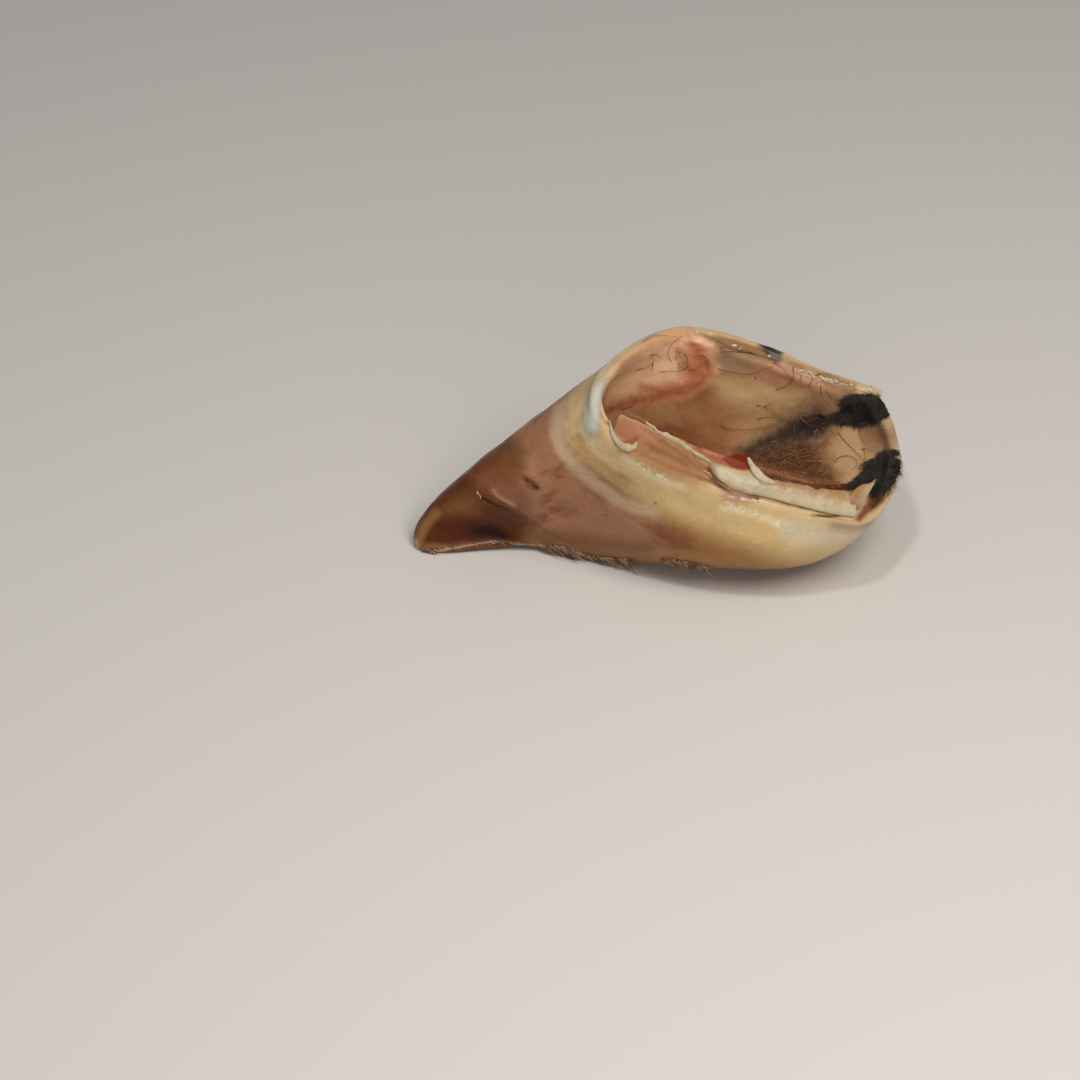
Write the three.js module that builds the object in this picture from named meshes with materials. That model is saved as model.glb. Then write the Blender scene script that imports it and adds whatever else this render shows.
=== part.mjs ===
// One claw of a cattle foot, sold whole as an untrimmed hoof: the hollow horn shell with its
// thick coronet rim, soft heel bulb and a half-torn inner sheet along the inner side.
// Millimetres, +Z up. The claw stands on its sole with the toe towards -X and the heel towards +X.
// Its inner side, which faced the other claw of the foot, looks along -Y.
// u runs once round the claw, counterclockwise from above, from 0 at the heel.

import * as THREE from 'three';
import { LoftGeometry } from 'three/addons/geometries/LoftGeometry.js';
import { mergeVertices } from 'three/addons/utils/BufferGeometryUtils.js';

// Stations at even steps of u.
// rim: the outer edge of the coronet. sole: the outer edge of the ground surface.
// swell: how far the wall bulges out of the straight line between them, and low: where the
// bulge sits, below 1 for nearer the ground. thick: the rim from its outer to its inner edge.
// drop: how far its inner edge lies below the outer one.
const STATIONS = [
	{ at: 'heel', rim: [ 71.5, 3, 29 ], sole: [ 47, 7, 0 ], swell: 4, low: 0.9, thick: 3, drop: 0.5 },
	{ at: 'outer heel', rim: [ 65.5, 24.5, 40.5 ], sole: [ 43, 23, 0 ], swell: 5, low: 0.9, thick: 3.5, drop: 1.5 },
	{ at: 'outer bulb', rim: [ 50, 29, 45.5 ], sole: [ 29, 33, 0 ], swell: 6, low: 0.9, thick: 4.5, drop: 2.5 },
	{ at: 'outer side', rim: [ 29, 33, 53.5 ], sole: [ 4, 35, 0 ], swell: 4, low: 1, thick: 5, drop: 3 },
	{ at: 'outer shoulder', rim: [ 7, 29, 61.5 ], sole: [ -26, 28, 0 ], swell: 3, low: 1, thick: 4, drop: 2 },
	{ at: 'outer toe', rim: [ -9.5, 18.5, 61.5 ], sole: [ -62, 18, 0 ], swell: 4, low: 0.7, thick: 3.5, drop: 0.5 },
	{ at: 'toe', rim: [ -21, 6, 56 ], sole: [ -75, 6.5, 0 ], swell: 5, low: 0.5, thick: 4, drop: 0 },
	{ at: 'inner toe', rim: [ -21, -7, 50.5 ], sole: [ -70, -1, 0.3 ], swell: 1, low: 0.7, thick: 5, drop: 0 },
	{ at: 'inner shoulder', rim: [ -10, -19.5, 46.5 ], sole: [ -42, -0.5, 2.6 ], swell: -2, low: 0.9, thick: 6, drop: 0 },
	{ at: 'inner side', rim: [ 15, -28.5, 40.5 ], sole: [ -12, -6.5, 0 ], swell: 6, low: 1.1, thick: 6.5, drop: 0 },
	{ at: 'inner bulb', rim: [ 42, -29.5, 33 ], sole: [ 18, -9, 0 ], swell: 8, low: 1.2, thick: 6.5, drop: 0.5 },
	{ at: 'inner heel', rim: [ 61, -21.5, 24.5 ], sole: [ 40, -6, 0 ], swell: 3, low: 1, thick: 4, drop: 0.5 },
];

// Ground surface: it hollows towards the toe, inside a bearing edge
const SOLE_CENTRE = { x: -2, y: 10 };
const SOLE_HOLLOW = 3;
const HOLLOW_ENDS = [ -25, 25 ];
const HOLLOW_EDGE = [ 0.4, 0.86 ];
const EDGE_ROUND = 0.7;

// Shallow recess in the inner wall behind the toe, under a slanting step in the horn
const RECESS_DEPTH = 2;
const RECESS_TURN = [ 0.53, 0.58, 0.68, 0.74 ];
const RECESS_RUN = [ -70, -56, -40, -28 ];
const STEP_TOE = { x: -56, z: 23 };
const STEP_REAR = { x: -28, z: 8 };
const STEP_WIDTH = 8;

// Cavity: its floor is the sole's outline drawn in, rising from the toe to the heel cushion
const FLOOR_SHARE = 0.7;
const FLOOR_TOE = 10;
const FLOOR_HEEL = 19;
const FLOOR_RISE = [ -10, 40 ];
const FLOOR_DISH = 1.5;
const INNER_SWELL = 0.8;
const UNDERCUT = 0.8;
const UNDERCUT_DROP = 3.6;

// Rounded lip of the rim, higher where it rolls over the toe end of the opening
const LIP_HEIGHT = 1.4;
const ROLL_HEIGHT = 2.4;
const ROLL_TURN = [ 0.46, 0.54, 0.608, 0.626 ];

// Torn sheet behind the lip of the inner side, with a groove at its foot, a notch at its toe
// end and a tab at its heel end
const SHEET_HEIGHT = 6.6;
const SHEET_TURN = [ 0.614, 0.628, 0.917, 0.927 ];
const SHEET_LEAN = 0.45;
const LEAN_TURN = [ 0.6, 0.68 ];
const PEEL_SLANT = -0.3;
const PEEL_TURN = [ 0.62, 0.67 ];
const TAB_EXTRA = 4;
const TAB_SLANT = 0.5;
const TAB_TURN = [ 0.87, 0.915 ];
const NOTCH_DEPTH = 2;
const NOTCH_TURN = [ 0.596, 0.608, 0.614, 0.628 ];
const GROOVE_DEPTH = 1.8;
const GROOVE_TURN = [ 0.72, 0.77, 0.87, 0.9 ];

// Section over the rim. across: share of the rim's thickness, from its outer edge.
// lip, groove, sheet: shares of those heights.
const RIM_SECTION = [
	{ across: 0.02, lip: 0.45, groove: 0, sheet: 0 },
	{ across: 0.12, lip: 0.82, groove: 0, sheet: 0 },
	{ across: 0.26, lip: 1, groove: 0, sheet: 0 },
	{ across: 0.4, lip: 0.97, groove: 0.5, sheet: 0 },
	{ across: 0.5, lip: 0.92, groove: 1, sheet: 0.02 },
	{ across: 0.58, lip: 0.9, groove: 0.6, sheet: 0.14 },
	{ across: 0.66, lip: 0.88, groove: 0, sheet: 0.42 },
	{ across: 0.74, lip: 0.82, groove: 0, sheet: 0.74 },
	{ across: 0.81, lip: 0.72, groove: 0, sheet: 0.95 },
	{ across: 0.88, lip: 0.56, groove: 0, sheet: 1 },
	{ across: 0.95, lip: 0.3, groove: 0, sheet: 0.92 },
	{ across: 1, lip: -0.1, groove: 0, sheet: 0.65 },
	{ across: 1, lip: -0.8, groove: 0, sheet: 0.3 },
];

// Mesh density. Columns stand closer where the sheet starts and where it ends in a tab.
const COLUMN_SPANS = [
	{ from: 0, to: 0.56, count: 47 },
	{ from: 0.56, to: 0.66, count: 17 },
	{ from: 0.66, to: 0.88, count: 20 },
	{ from: 0.88, to: 0.94, count: 9 },
	{ from: 0.94, to: 1, count: 5 },
];
const SOLE_SHARES = [ 0, 0.2, 0.4, 0.62, 0.86, 0.96 ];
const WALL_ROWS = 18;
const INNER_ROWS = 14;
const FLOOR_SHARES = [ 0.85, 0.6, 0.3, 0 ];
const WELD_DISTANCE = 1e-3;

const Z = new THREE.Vector3( 0, 0, 1 );
const { clamp, lerp, smoothstep } = THREE.MathUtils;

const rampUp = ( value, [ from, to ] ) => smoothstep( value, from, to );

// 0, then 1 between the middle two of four places, then 0 again.
const plateau = ( value, [ a, b, c, d ] ) => smoothstep( value, a, b ) * ( 1 - smoothstep( value, c, d ) );

// A closed smooth curve through one point of every station.
function ring( pick ) {

	const points = STATIONS.map( ( station ) => new THREE.Vector3( ...pick( station ) ) );
	return new THREE.CatmullRomCurve3( points, true, 'catmullrom', 0.5 );

}

// A smooth periodic number through one value of every station.
function around( pick ) {

	const curve = ring( ( station ) => [ pick( station ), 0, 0 ] );
	return ( u ) => curve.getPoint( u ).x;

}

const rimRing = ring( ( station ) => station.rim );
const soleRing = ring( ( station ) => station.sole );
const swellAt = around( ( station ) => station.swell );
const lowAt = around( ( station ) => station.low );
const thickAt = around( ( station ) => station.thick );
const dropAt = around( ( station ) => station.drop );

// Horizontal direction into the claw at u.
function inwardAt( u ) {

	return Z.clone().cross( rimRing.getTangent( u ) ).setZ( 0 ).normalize();

}

// Direction out of the wall at u, square to its run and to the line from sole to rim.
function outwardAt( u ) {

	const run = rimRing.getTangent( u ).add( soleRing.getTangent( u ) );
	const rise = rimRing.getPoint( u ).sub( soleRing.getPoint( u ) );
	return run.cross( rise ).normalize();

}

function bulgeAt( u, v ) {

	return swellAt( u ) * Math.sin( Math.PI * v ** lowAt( u ) );

}

// Ground surface, from its centre ( share 0 ) to the foot of the wall ( share 1 ).
function solePoint( u, share ) {

	const edge = soleRing.getPoint( u );
	const x = lerp( SOLE_CENTRE.x, edge.x, share );
	const y = lerp( SOLE_CENTRE.y, edge.y, share );
	const hollow = SOLE_HOLLOW * ( 1 - rampUp( x, HOLLOW_ENDS ) ) * ( 1 - rampUp( share, HOLLOW_EDGE ) );
	return new THREE.Vector3( x, y, Math.max( edge.z, 0 ) * share ** 4 + hollow );

}

function recessDepth( u, { x, z } ) {

	const share = clamp( ( x - STEP_TOE.x ) / ( STEP_REAR.x - STEP_TOE.x ), 0, 1 );
	const step = lerp( STEP_TOE.z, STEP_REAR.z, share );
	const below = smoothstep( step - z, 0, STEP_WIDTH ) * smoothstep( z, 0, step / 2 );
	return RECESS_DEPTH * plateau( u, RECESS_TURN ) * plateau( x, RECESS_RUN ) * below;

}

// Outside of the wall, from the ground ( v 0 ) up to the rim ( v 1 ).
function wallPoint( u, v ) {

	const point = soleRing.getPoint( u ).lerp( rimRing.getPoint( u ), v );
	return point.addScaledVector( outwardAt( u ), bulgeAt( u, v ) - recessDepth( u, point ) );

}

function sheetHeight( u ) {

	const tab = TAB_EXTRA * rampUp( u, TAB_TURN );
	return plateau( u, SHEET_TURN ) * ( SHEET_HEIGHT + tab ) - NOTCH_DEPTH * plateau( u, NOTCH_TURN );

}

function rimPoint( u, part ) {

	const lip = lerp( LIP_HEIGHT, ROLL_HEIGHT, plateau( u, ROLL_TURN ) );
	const groove = GROOVE_DEPTH * plateau( u, GROOVE_TURN );
	const lift = part.sheet * sheetHeight( u );
	const lean = SHEET_LEAN * rampUp( u, LEAN_TURN );
	const slant = TAB_SLANT * rampUp( u, TAB_TURN ) + PEEL_SLANT * ( 1 - rampUp( u, PEEL_TURN ) );
	const point = rimRing.getPoint( u );
	point.addScaledVector( inwardAt( u ), part.across * thickAt( u ) + lift * lean );
	point.addScaledVector( rimRing.getTangent( u ), lift * slant );
	point.z += part.lip * lip + lift - part.groove * groove - part.across * dropAt( u );
	return point;

}

function floorEdge( u ) {

	const edge = soleRing.getPoint( u );
	const x = lerp( SOLE_CENTRE.x, edge.x, FLOOR_SHARE );
	const y = lerp( SOLE_CENTRE.y, edge.y, FLOOR_SHARE );
	return new THREE.Vector3( x, y, lerp( FLOOR_TOE, FLOOR_HEEL, rampUp( x, FLOOR_RISE ) ) );

}

// Inside of the wall, from the floor's edge ( v 0 ) up to the undercut below the rim ( v 1 ).
function innerPoint( u, v ) {

	const top = rimRing.getPoint( u ).addScaledVector( inwardAt( u ), thickAt( u ) - UNDERCUT );
	top.z -= dropAt( u ) + UNDERCUT_DROP;
	return floorEdge( u ).lerp( top, v ).addScaledVector( outwardAt( u ), INNER_SWELL * bulgeAt( u, v ) );

}

// Floor of the cavity, from its centre ( share 0 ) to its edge ( share 1 ).
function floorPoint( u, share ) {

	const edge = floorEdge( u );
	const x = lerp( SOLE_CENTRE.x, edge.x, share );
	const y = lerp( SOLE_CENTRE.y, edge.y, share );
	const height = lerp( FLOOR_TOE, edge.z, share ** 2 ) - FLOOR_DISH * ( 1 - share ** 4 );
	return new THREE.Vector3( x, y, height );

}

// All the rings of the shell in order: sole, wall, rim, inside, floor.
function shellSections() {

	const turns = COLUMN_SPANS.flatMap( ( { from, to, count } ) =>
		Array.from( { length: count }, ( _, i ) => lerp( from, to, i / count ) )
	);
	const sections = [];
	const add = ( pointAt ) => sections.push( turns.map( pointAt ) );

	for ( const share of SOLE_SHARES ) add( ( u ) => solePoint( u, share ) );

	add( ( u ) => wallPoint( u, 0 ).addScaledVector( Z, EDGE_ROUND ) );
	for ( let row = 1; row <= WALL_ROWS; row ++ ) add( ( u ) => wallPoint( u, row / WALL_ROWS ) );

	for ( const part of RIM_SECTION ) add( ( u ) => rimPoint( u, part ) );

	for ( let row = INNER_ROWS; row >= 0; row -- ) add( ( u ) => innerPoint( u, row / INNER_ROWS ) );

	for ( const share of FLOOR_SHARES ) add( ( u ) => floorPoint( u, share ) );

	return sections;

}

// Shares vertices and drops the triangles that the loft's two end points collapse.
function weld( geometry ) {

	const plain = new THREE.BufferGeometry().copy( geometry );
	plain.deleteAttribute( 'uv' );
	plain.deleteAttribute( 'normal' );
	const welded = mergeVertices( plain, WELD_DISTANCE );
	const index = welded.getIndex().array;
	const kept = [];

	for ( let i = 0; i < index.length; i += 3 ) {

		const [ a, b, c ] = index.slice( i, i + 3 );
		if ( a !== b && b !== c && c !== a ) kept.push( a, b, c );

	}

	welded.setIndex( kept );
	return welded;

}

// Sets the sole on z = 0 with the claw's length and width centred on the origin.
function standCentred( geometry ) {

	geometry.computeBoundingBox();
	const { min, max } = geometry.boundingBox;
	geometry.translate( - ( min.x + max.x ) / 2, - ( min.y + max.y ) / 2, - min.z );
	return geometry;

}

function makeHoof() {

	const horn = new THREE.MeshStandardMaterial( { color: 0xc8a872, roughness: 0.35, metalness: 0 } );
	const shell = standCentred( weld( new LoftGeometry( shellSections() ) ) );
	shell.computeVertexNormals();
	const hoof = new THREE.Mesh( shell, horn );
	hoof.name = 'hoof';
	return hoof;

}

const claw = new THREE.Group();
claw.add( makeHoof() );

export default claw;
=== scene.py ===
"""Looks of one untrimmed hoof: wet horn, torn lining, fur and stray hairs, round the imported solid."""

import math
import random

import bmesh
import bpy
import numpy as np
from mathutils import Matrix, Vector, noise
from mathutils.bvhtree import BVHTree


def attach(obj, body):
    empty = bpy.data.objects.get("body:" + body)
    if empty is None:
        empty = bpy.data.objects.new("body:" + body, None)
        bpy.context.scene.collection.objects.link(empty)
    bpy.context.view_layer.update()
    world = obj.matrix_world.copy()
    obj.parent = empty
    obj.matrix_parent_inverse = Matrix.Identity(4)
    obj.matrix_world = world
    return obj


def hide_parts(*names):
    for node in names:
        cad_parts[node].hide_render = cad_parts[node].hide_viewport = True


bl_info = {
    "name": "Untrimmed hoof",
    "version": (1, 0, 0),
    "blender": (4, 5, 0),
    "location": "3D View > Sidebar > Hoof",
    "description": "Wet horn, torn lining, fur and hairs of one whole hoof",
    "category": "Object",
}

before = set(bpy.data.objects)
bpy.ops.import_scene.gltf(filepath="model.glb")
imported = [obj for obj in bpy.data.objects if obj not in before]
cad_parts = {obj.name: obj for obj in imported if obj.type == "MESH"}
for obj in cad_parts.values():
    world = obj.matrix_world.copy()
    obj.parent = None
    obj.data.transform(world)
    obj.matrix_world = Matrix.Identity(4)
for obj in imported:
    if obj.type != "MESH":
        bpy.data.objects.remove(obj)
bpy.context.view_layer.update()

MM = 0.001
SOLID = "hoof"
BODY = "root"

# The camera of the photograph. Places on the hoof are given by its pixels.
IMAGE_SIDE = 1080
LENS = 132.0
SENSOR = 36.0
FOCAL = LENS / SENSOR * IMAGE_SIDE
ELEVATION = math.radians(34)
VIEW_DISTANCE = 1.2
AIM = np.array([-34.6, -0.5, 2.0]) * MM
FORWARD = np.array([0, math.cos(ELEVATION), -math.sin(ELEVATION)])
RIGHT = np.array([1.0, 0, 0])
UP = np.cross(RIGHT, FORWARD)
EYE = AIM - FORWARD * VIEW_DISTANCE

# Enlargements of the photograph that places were measured on: left, top, scale
OPENING = (570, 310, 4.588)
TOE = (400, 400, 6)

# Rings of the solid, counted from the middle of the cavity's floor out and over to the sole
SHEET_RING = 22
GROOVE_RING = 27
LAST_INNER_RING = 20
RIM_RING = 31
WALL_TOP_RING = 32
WALL_FOOT_RING = 50

SKIN_LEVELS = 2
MERGE_GAP = 0.001 * MM

# The rim's corners are softened here at the heel
HEEL_RINGS = range(16, 31)
HEEL_START = 50 * MM
HEEL_TURNS = 5
# The lip of the inner side is rounded more than on the solid, in this many turns
LIP_RINGS = range(29, 36)
LIP_SIDE = -6 * MM
LIP_STEP = 2 * MM
LIP_TURNS = 6
# So is the toe end of the sheet, round this pixel of the photograph
SHEET_RINGS = range(19, 27)
SHEET_START = (622, 416)
SHEET_START_REACH = 14
SHEET_TURNS = 3
# What lies on the skin beside a ridge is no deeper in the view than this behind the ridge's line
RIDGE_REACH = 3 * MM
# The photograph's stains and its painted shade and highlights fade out where the skin turns away from
# the
# camera: the cosine at which they end, and over how much of it they fade
FACING_END = -0.05
FACING_RANGE = 0.25
# Whether a place is seen is tested from so many mm off the skin and towards the camera
SIGHT_LIFT = 0.3
SIGHT_AHEAD = 0.6
# What can be seen reaches this many edges of the mesh further, and then ends softly over so many
SEEN_GROWTH = 5
SEEN_BLUR = 4
# Soft lumps and finer ripples of the skin, and how far the wall and the rim share in them
LUMP_SIZE = 9 * MM
LUMP_SEED = 3.0
LUMP_SHARE = 0.45
RIPPLE_SIZE = 3.2 * MM
RIPPLE_SEED = 11.0
RIPPLE_SHARE = 0.18
WALL_LUMPS = 0.6
RIM_LUMPS = 0.8

# The far side isn't in the photograph: its toe and its bulb darken and lighten as on the near side
FAR_TOE = (5 * MM, -60 * MM)
FAR_BULB = (25 * MM, 60 * MM)

# Even coordinates for the wall's grain: a cylinder of about the claw's girth and wall height
HORN_RADIUS = 42 * MM
HORN_HEIGHT = 62 * MM


# Pixels of the photograph


def on_photo(view, points):
    """Pixels of the photograph for points measured on an enlargement of it."""
    left, top, scale = view
    return np.array(points, float) / scale + (left, top)


def to_photo(points):
    """Pixels of the photograph that points of the frame fall on."""
    offset = points - EYE
    depth = offset @ FORWARD
    across = IMAGE_SIDE / 2 + FOCAL * (offset @ RIGHT) / depth
    down = IMAGE_SIDE / 2 - FOCAL * (offset @ UP) / depth
    return np.stack([across, down], 1)


def sight_line(pixel):
    """Direction from the camera through a pixel."""
    x, y = pixel
    direction = FORWARD + RIGHT * (x - IMAGE_SIDE / 2) / FOCAL
    direction = direction + UP * (IMAGE_SIDE / 2 - y) / FOCAL
    return direction / np.linalg.norm(direction)


def nearest_on_sight(pixel, line):
    """Point of the sight line through a pixel that passes nearest to a line of points."""
    direction = sight_line(pixel)
    best = None
    for start, end in zip(line, np.roll(line, -1, 0)):
        for share in np.linspace(0, 1, 5):
            point = start + (end - start) * share
            along = (point - EYE) @ direction
            miss = np.linalg.norm(EYE + along * direction - point)
            if best is None or miss < best[0]:
                best = (miss, EYE + along * direction)
    return best[1]


def smooth(value):
    value = np.clip(value, 0, 1)
    return value * value * (3 - 2 * value)


def line_distance(pixels, points, closed=False):
    """Distance of pixels from a line through points."""
    ends = np.roll(points, -1, 0)
    pairs = list(zip(points, ends))
    if not closed:
        pairs = pairs[:-1]
    best = np.full(len(pixels), np.inf)
    for start, end in pairs:
        run = end - start
        share = np.clip((pixels - start) @ run / max(run @ run, 1e-9), 0, 1)
        gap = pixels - start - share[:, None] * run
        best = np.minimum(best, np.hypot(gap[:, 0], gap[:, 1]))
    return best


def is_within(pixels, points):
    """Whether pixels lie inside a closed outline."""
    found = np.zeros(len(pixels), bool)
    x, y = pixels[:, 0], pixels[:, 1]
    for (x0, y0), (x1, y1) in zip(points, np.roll(points, -1, 0)):
        if y0 == y1:
            continue
        crosses = (y0 > y) != (y1 > y)
        found ^= crosses & (x < (x1 - x0) * (y - y0) / (y1 - y0) + x0)
    return found


def stroke_field(pixels, view, points, core, fade):
    """0.5 at core pixels from a stroke, up to 1 inside and down to 0 outside over fade pixels."""
    distance = line_distance(pixels, on_photo(view, points))
    return np.clip(0.5 + (core - distance) / (2 * fade), 0, 1)


def area_field(pixels, view, points, fade):
    """The same for an area: 0.5 on its outline, up to 1 inside and down to 0 outside."""
    outline = on_photo(view, points)
    distance = line_distance(pixels, outline, closed=True)
    distance = np.where(is_within(pixels, outline), distance, -distance)
    return np.clip(0.5 + distance / (2 * fade), 0, 1)


def signed_gap(pixels, points):
    """Distance of pixels from a line through points, with a sign by side, and the share along it."""
    best = np.full(len(pixels), np.inf)
    signed, along = np.zeros(len(pixels)), np.zeros(len(pixels))
    for number, (start, end) in enumerate(zip(points, points[1:])):
        run = end - start
        offset = pixels - start
        share = np.clip(offset @ run / (run @ run), 0, 1)
        gap = np.linalg.norm(offset - share[:, None] * run, axis=1)
        side = np.where(run[0] * offset[:, 1] > run[1] * offset[:, 0], 1.0, -1.0)
        nearer = gap < best
        best = np.where(nearer, gap, best)
        signed = np.where(nearer, gap * side, signed)
        along = np.where(nearer, (number + share) / (len(points) - 1), along)
    return signed, along


# Meshes


def add_object(name, mesh, material=None):
    piece = bpy.data.objects.new(name, mesh)
    bpy.context.scene.collection.objects.link(piece)
    if material:
        mesh.materials.append(material)
    return piece


def settle(piece):
    """Applies a piece's modifiers, or turns its curve into a mesh."""
    bpy.context.view_layer.update()
    depsgraph = bpy.context.evaluated_depsgraph_get()
    mesh = bpy.data.meshes.new_from_object(
        piece.evaluated_get(depsgraph), preserve_all_data_layers=True, depsgraph=depsgraph
    )
    name = piece.name
    materials = list(piece.data.materials)
    bpy.data.objects.remove(piece)
    mesh.materials.clear()
    for material in materials:
        mesh.materials.append(material)
    mesh.shade_smooth()
    return add_object(name, mesh)


def join(name, pieces):
    """Joins pieces into one, which takes a name."""
    with bpy.context.temp_override(
        active_object=pieces[0], selected_objects=pieces, selected_editable_objects=pieces
    ):
        bpy.ops.object.join()
    pieces[0].name = name
    pieces[0].data.name = name
    return pieces[0]


def finish_piece(piece):
    """Gives a piece the body that it belongs to."""
    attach(piece, BODY)
    return piece


def coordinates(mesh):
    points = np.empty(len(mesh.vertices) * 3, np.float32)
    mesh.vertices.foreach_get("co", points)
    return points.reshape(-1, 3).astype(float)


def vertex_normals(mesh):
    normals = np.empty(len(mesh.vertices) * 3, np.float32)
    mesh.vertex_normals.foreach_get("vector", normals)
    return normals.reshape(-1, 3).astype(float)


def set_coordinates(mesh, points):
    mesh.vertices.foreach_set("co", points.astype(np.float32).ravel())
    mesh.update()


def values_of(mesh, name):
    values = np.empty(len(mesh.vertices), np.float32)
    mesh.attributes[name].data.foreach_get("value", values)
    return values.astype(float)


def set_values(mesh, name, values):
    attribute = mesh.attributes.get(name) or mesh.attributes.new(name, "FLOAT", "POINT")
    attribute.data.foreach_set("value", values.astype(np.float32))


def grain_field(points, size, seed=0.0):
    """Smooth noise from -1 to 1 at points, with lumps of about that size."""
    shift = Vector((seed, seed * 2, seed * 3))
    return np.array([noise.noise(Vector(p) / size + shift) for p in points])


# Rings of the solid


def grid_copy():
    """A merged copy of the solid, made of quads again, and its rings of vertices in order."""
    bm = bmesh.new()
    bm.from_mesh(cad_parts[SOLID].data)
    bmesh.ops.remove_doubles(bm, verts=bm.verts, dist=MERGE_GAP)
    bm.verts.layers.float.new("turn_x")
    bm.verts.layers.float.new("turn_y")
    bm.verts.layers.float.new("ring")
    poles = sorted(bm.verts, key=lambda v: len(v.link_edges))[-2:]
    start = max(poles, key=lambda v: v.co.z)

    level = {start: 0}
    front = [start]
    while front:
        ahead = []
        for vert in front:
            for edge in vert.link_edges:
                other = edge.other_vert(vert)
                if other not in level:
                    level[other] = level[vert] + 1
                    ahead.append(other)
        front = ahead

    def beside(vert, step):
        found = (edge.other_vert(vert) for edge in vert.link_edges)
        return [v for v in found if level[v] == level[vert] + step]

    # The first ring, counterclockwise from the heel.
    first = max(beside(start, 1), key=lambda v: v.co.x)
    second = max(beside(first, 0), key=lambda v: v.co.y)
    ring = [first, second]
    while True:
        ahead = [v for v in beside(ring[-1], 0) if v is not ring[-2]]
        if ahead[0] is first:
            break
        ring.append(ahead[0])

    # Each next one, and the diagonals between them: of the two lines that reach the vertex
    # that two neighbours share, the longer family.
    rings = [ring]
    diagonals = []
    last = max(level.values())
    while len(rings) < last - 1:
        after = ring[1:] + ring[:1]
        shared = [
            next(v for v in beside(a, 1) if v in beside(b, 1)) for a, b in zip(ring, after)
        ]
        to_own = sum((s.co - a.co).length for s, a in zip(shared, ring))
        to_after = sum((s.co - b.co).length for s, b in zip(shared, after))
        across = after if to_own < to_after else ring
        diagonals += list(zip(shared, across))
        ring = shared if to_own < to_after else shared[-1:] + shared[:-1]
        rings.append(ring)

    ring_layer, turn_x, turn_y = (
        bm.verts.layers.float[name] for name in ("ring", "turn_x", "turn_y")
    )
    for vert, number in level.items():
        vert[ring_layer] = number
    for ring in rings:
        for column, vert in enumerate(ring):
            angle = math.tau * column / len(ring)
            vert[turn_x], vert[turn_y] = math.cos(angle), math.sin(angle)
    edges = [bm.edges.get(pair) for pair in diagonals]
    bmesh.ops.dissolve_edges(bm, edges=edges, use_verts=False, use_face_split=False)
    return bm, rings


def ring_line(number):
    """Points of one ring of the solid, round the claw."""
    bm, rings = grid_copy()
    line = np.array([v.co for v in rings[number - 1]])
    bm.free()
    return line


# Materials


def linear(colour):
    """Scene-linear values of a colour given as it looks on screen, 0 to 255."""
    shares = [c / 255 for c in colour]
    return (*[c / 12.92 if c <= 0.04045 else ((c + 0.055) / 1.055) ** 2.4 for c in shares], 1.0)


def node_group(name, inputs, outputs):
    """An empty node group with its sockets: (name, kind, default) each."""
    group = bpy.data.node_groups.new(name, "ShaderNodeTree")
    for label, kind, default in inputs:
        socket = group.interface.new_socket(name=label, in_out="INPUT", socket_type=kind)
        if default is not None:
            socket.default_value = default
    for label, kind in outputs:
        group.interface.new_socket(name=label, in_out="OUTPUT", socket_type=kind)
    return group, group.nodes.new("NodeGroupInput"), group.nodes.new("NodeGroupOutput")


FLOAT = "NodeSocketFloat"
COLOUR = "NodeSocketColor"
VECTOR = "NodeSocketVector"

# How fine the materials' noise is, in lumps a metre
LINING_SCALE = 45
STREAK_SCALE = 60
BLOT_SCALE = 130
CLOUD_SCALE = 140
BREAK_SCALE = 260
DAMP_SCALE = 260
HAIR_SCALE = 300
GRAIN_SCALE = 420
WAVER_SCALE = 500
BEAD_SCALE = 800
SPECK_SCALE = 900
# The horn's growth: stretch along each axis, lumps a metre and weight of the broad rings, the
# fine rings and the upright fibres, and about the mean of their sum
GROWTH_PATTERNS = (
    ((0.12, 0.12, 1.0), 620, 0.6),
    ((0.06, 0.06, 1.0), 1500, 0.3),
    ((1.0, 1.0, 0.1), 900, 0.15),
)
GROWTH_MEAN = 0.52
# A stain's raggedness fades in with its field, this many times as fast
RAGGED_RISE = 5.0
# A fine line wavers by this many pixels and keeps at least this share of its width at its breaks.
# Its weight counts this many times for its strength, and its edge is this many pixels soft.
LINE_WAVER = 2.5
LINE_LEAST = 0.45
LINE_STRENGTH = 1.4
LINE_SOFTNESS = 0.9


def feed(tree, socket, value):
    """Sets a socket to a number or a colour, or links another node's output to it."""
    if isinstance(value, (int, float, tuple)):
        socket.default_value = value
    else:
        tree.links.new(value, socket)


def maths(tree, operation, first, second=None, clamp=False):
    node = tree.nodes.new("ShaderNodeMath")
    node.operation = operation
    node.use_clamp = clamp
    feed(tree, node.inputs[0], first)
    if second is not None:
        feed(tree, node.inputs[1], second)
    return node.outputs[0]


def weighted_sum(tree, *terms):
    """The sum of values, each times its weight."""
    total = None
    for value, weight in terms:
        term = maths(tree, "MULTIPLY", value, weight)
        total = term if total is None else maths(tree, "ADD", total, term)
    return total


def highest(tree, first, *others):
    """The highest of several values."""
    for value in others:
        first = maths(tree, "MAXIMUM", first, value)
    return first


def mix_colours(tree, share, first, second, blend="MIX"):
    node = tree.nodes.new("ShaderNodeMix")
    node.data_type = "RGBA"
    node.blend_type = blend
    # A Mix node takes its colours at inputs 6 and 7 and gives the mixture at output 2.
    for number, value in ((0, share), (6, first), (7, second)):
        feed(tree, node.inputs[number], value)
    return node.outputs[2]


def toned(tree, colour, tone):
    """A colour made lighter or darker by a factor."""
    grey = tree.nodes.new("ShaderNodeCombineColor")
    for socket in grey.inputs[:3]:
        tree.links.new(tone, socket)
    return mix_colours(tree, 1.0, colour, grey.outputs[0], "MULTIPLY")


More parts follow.
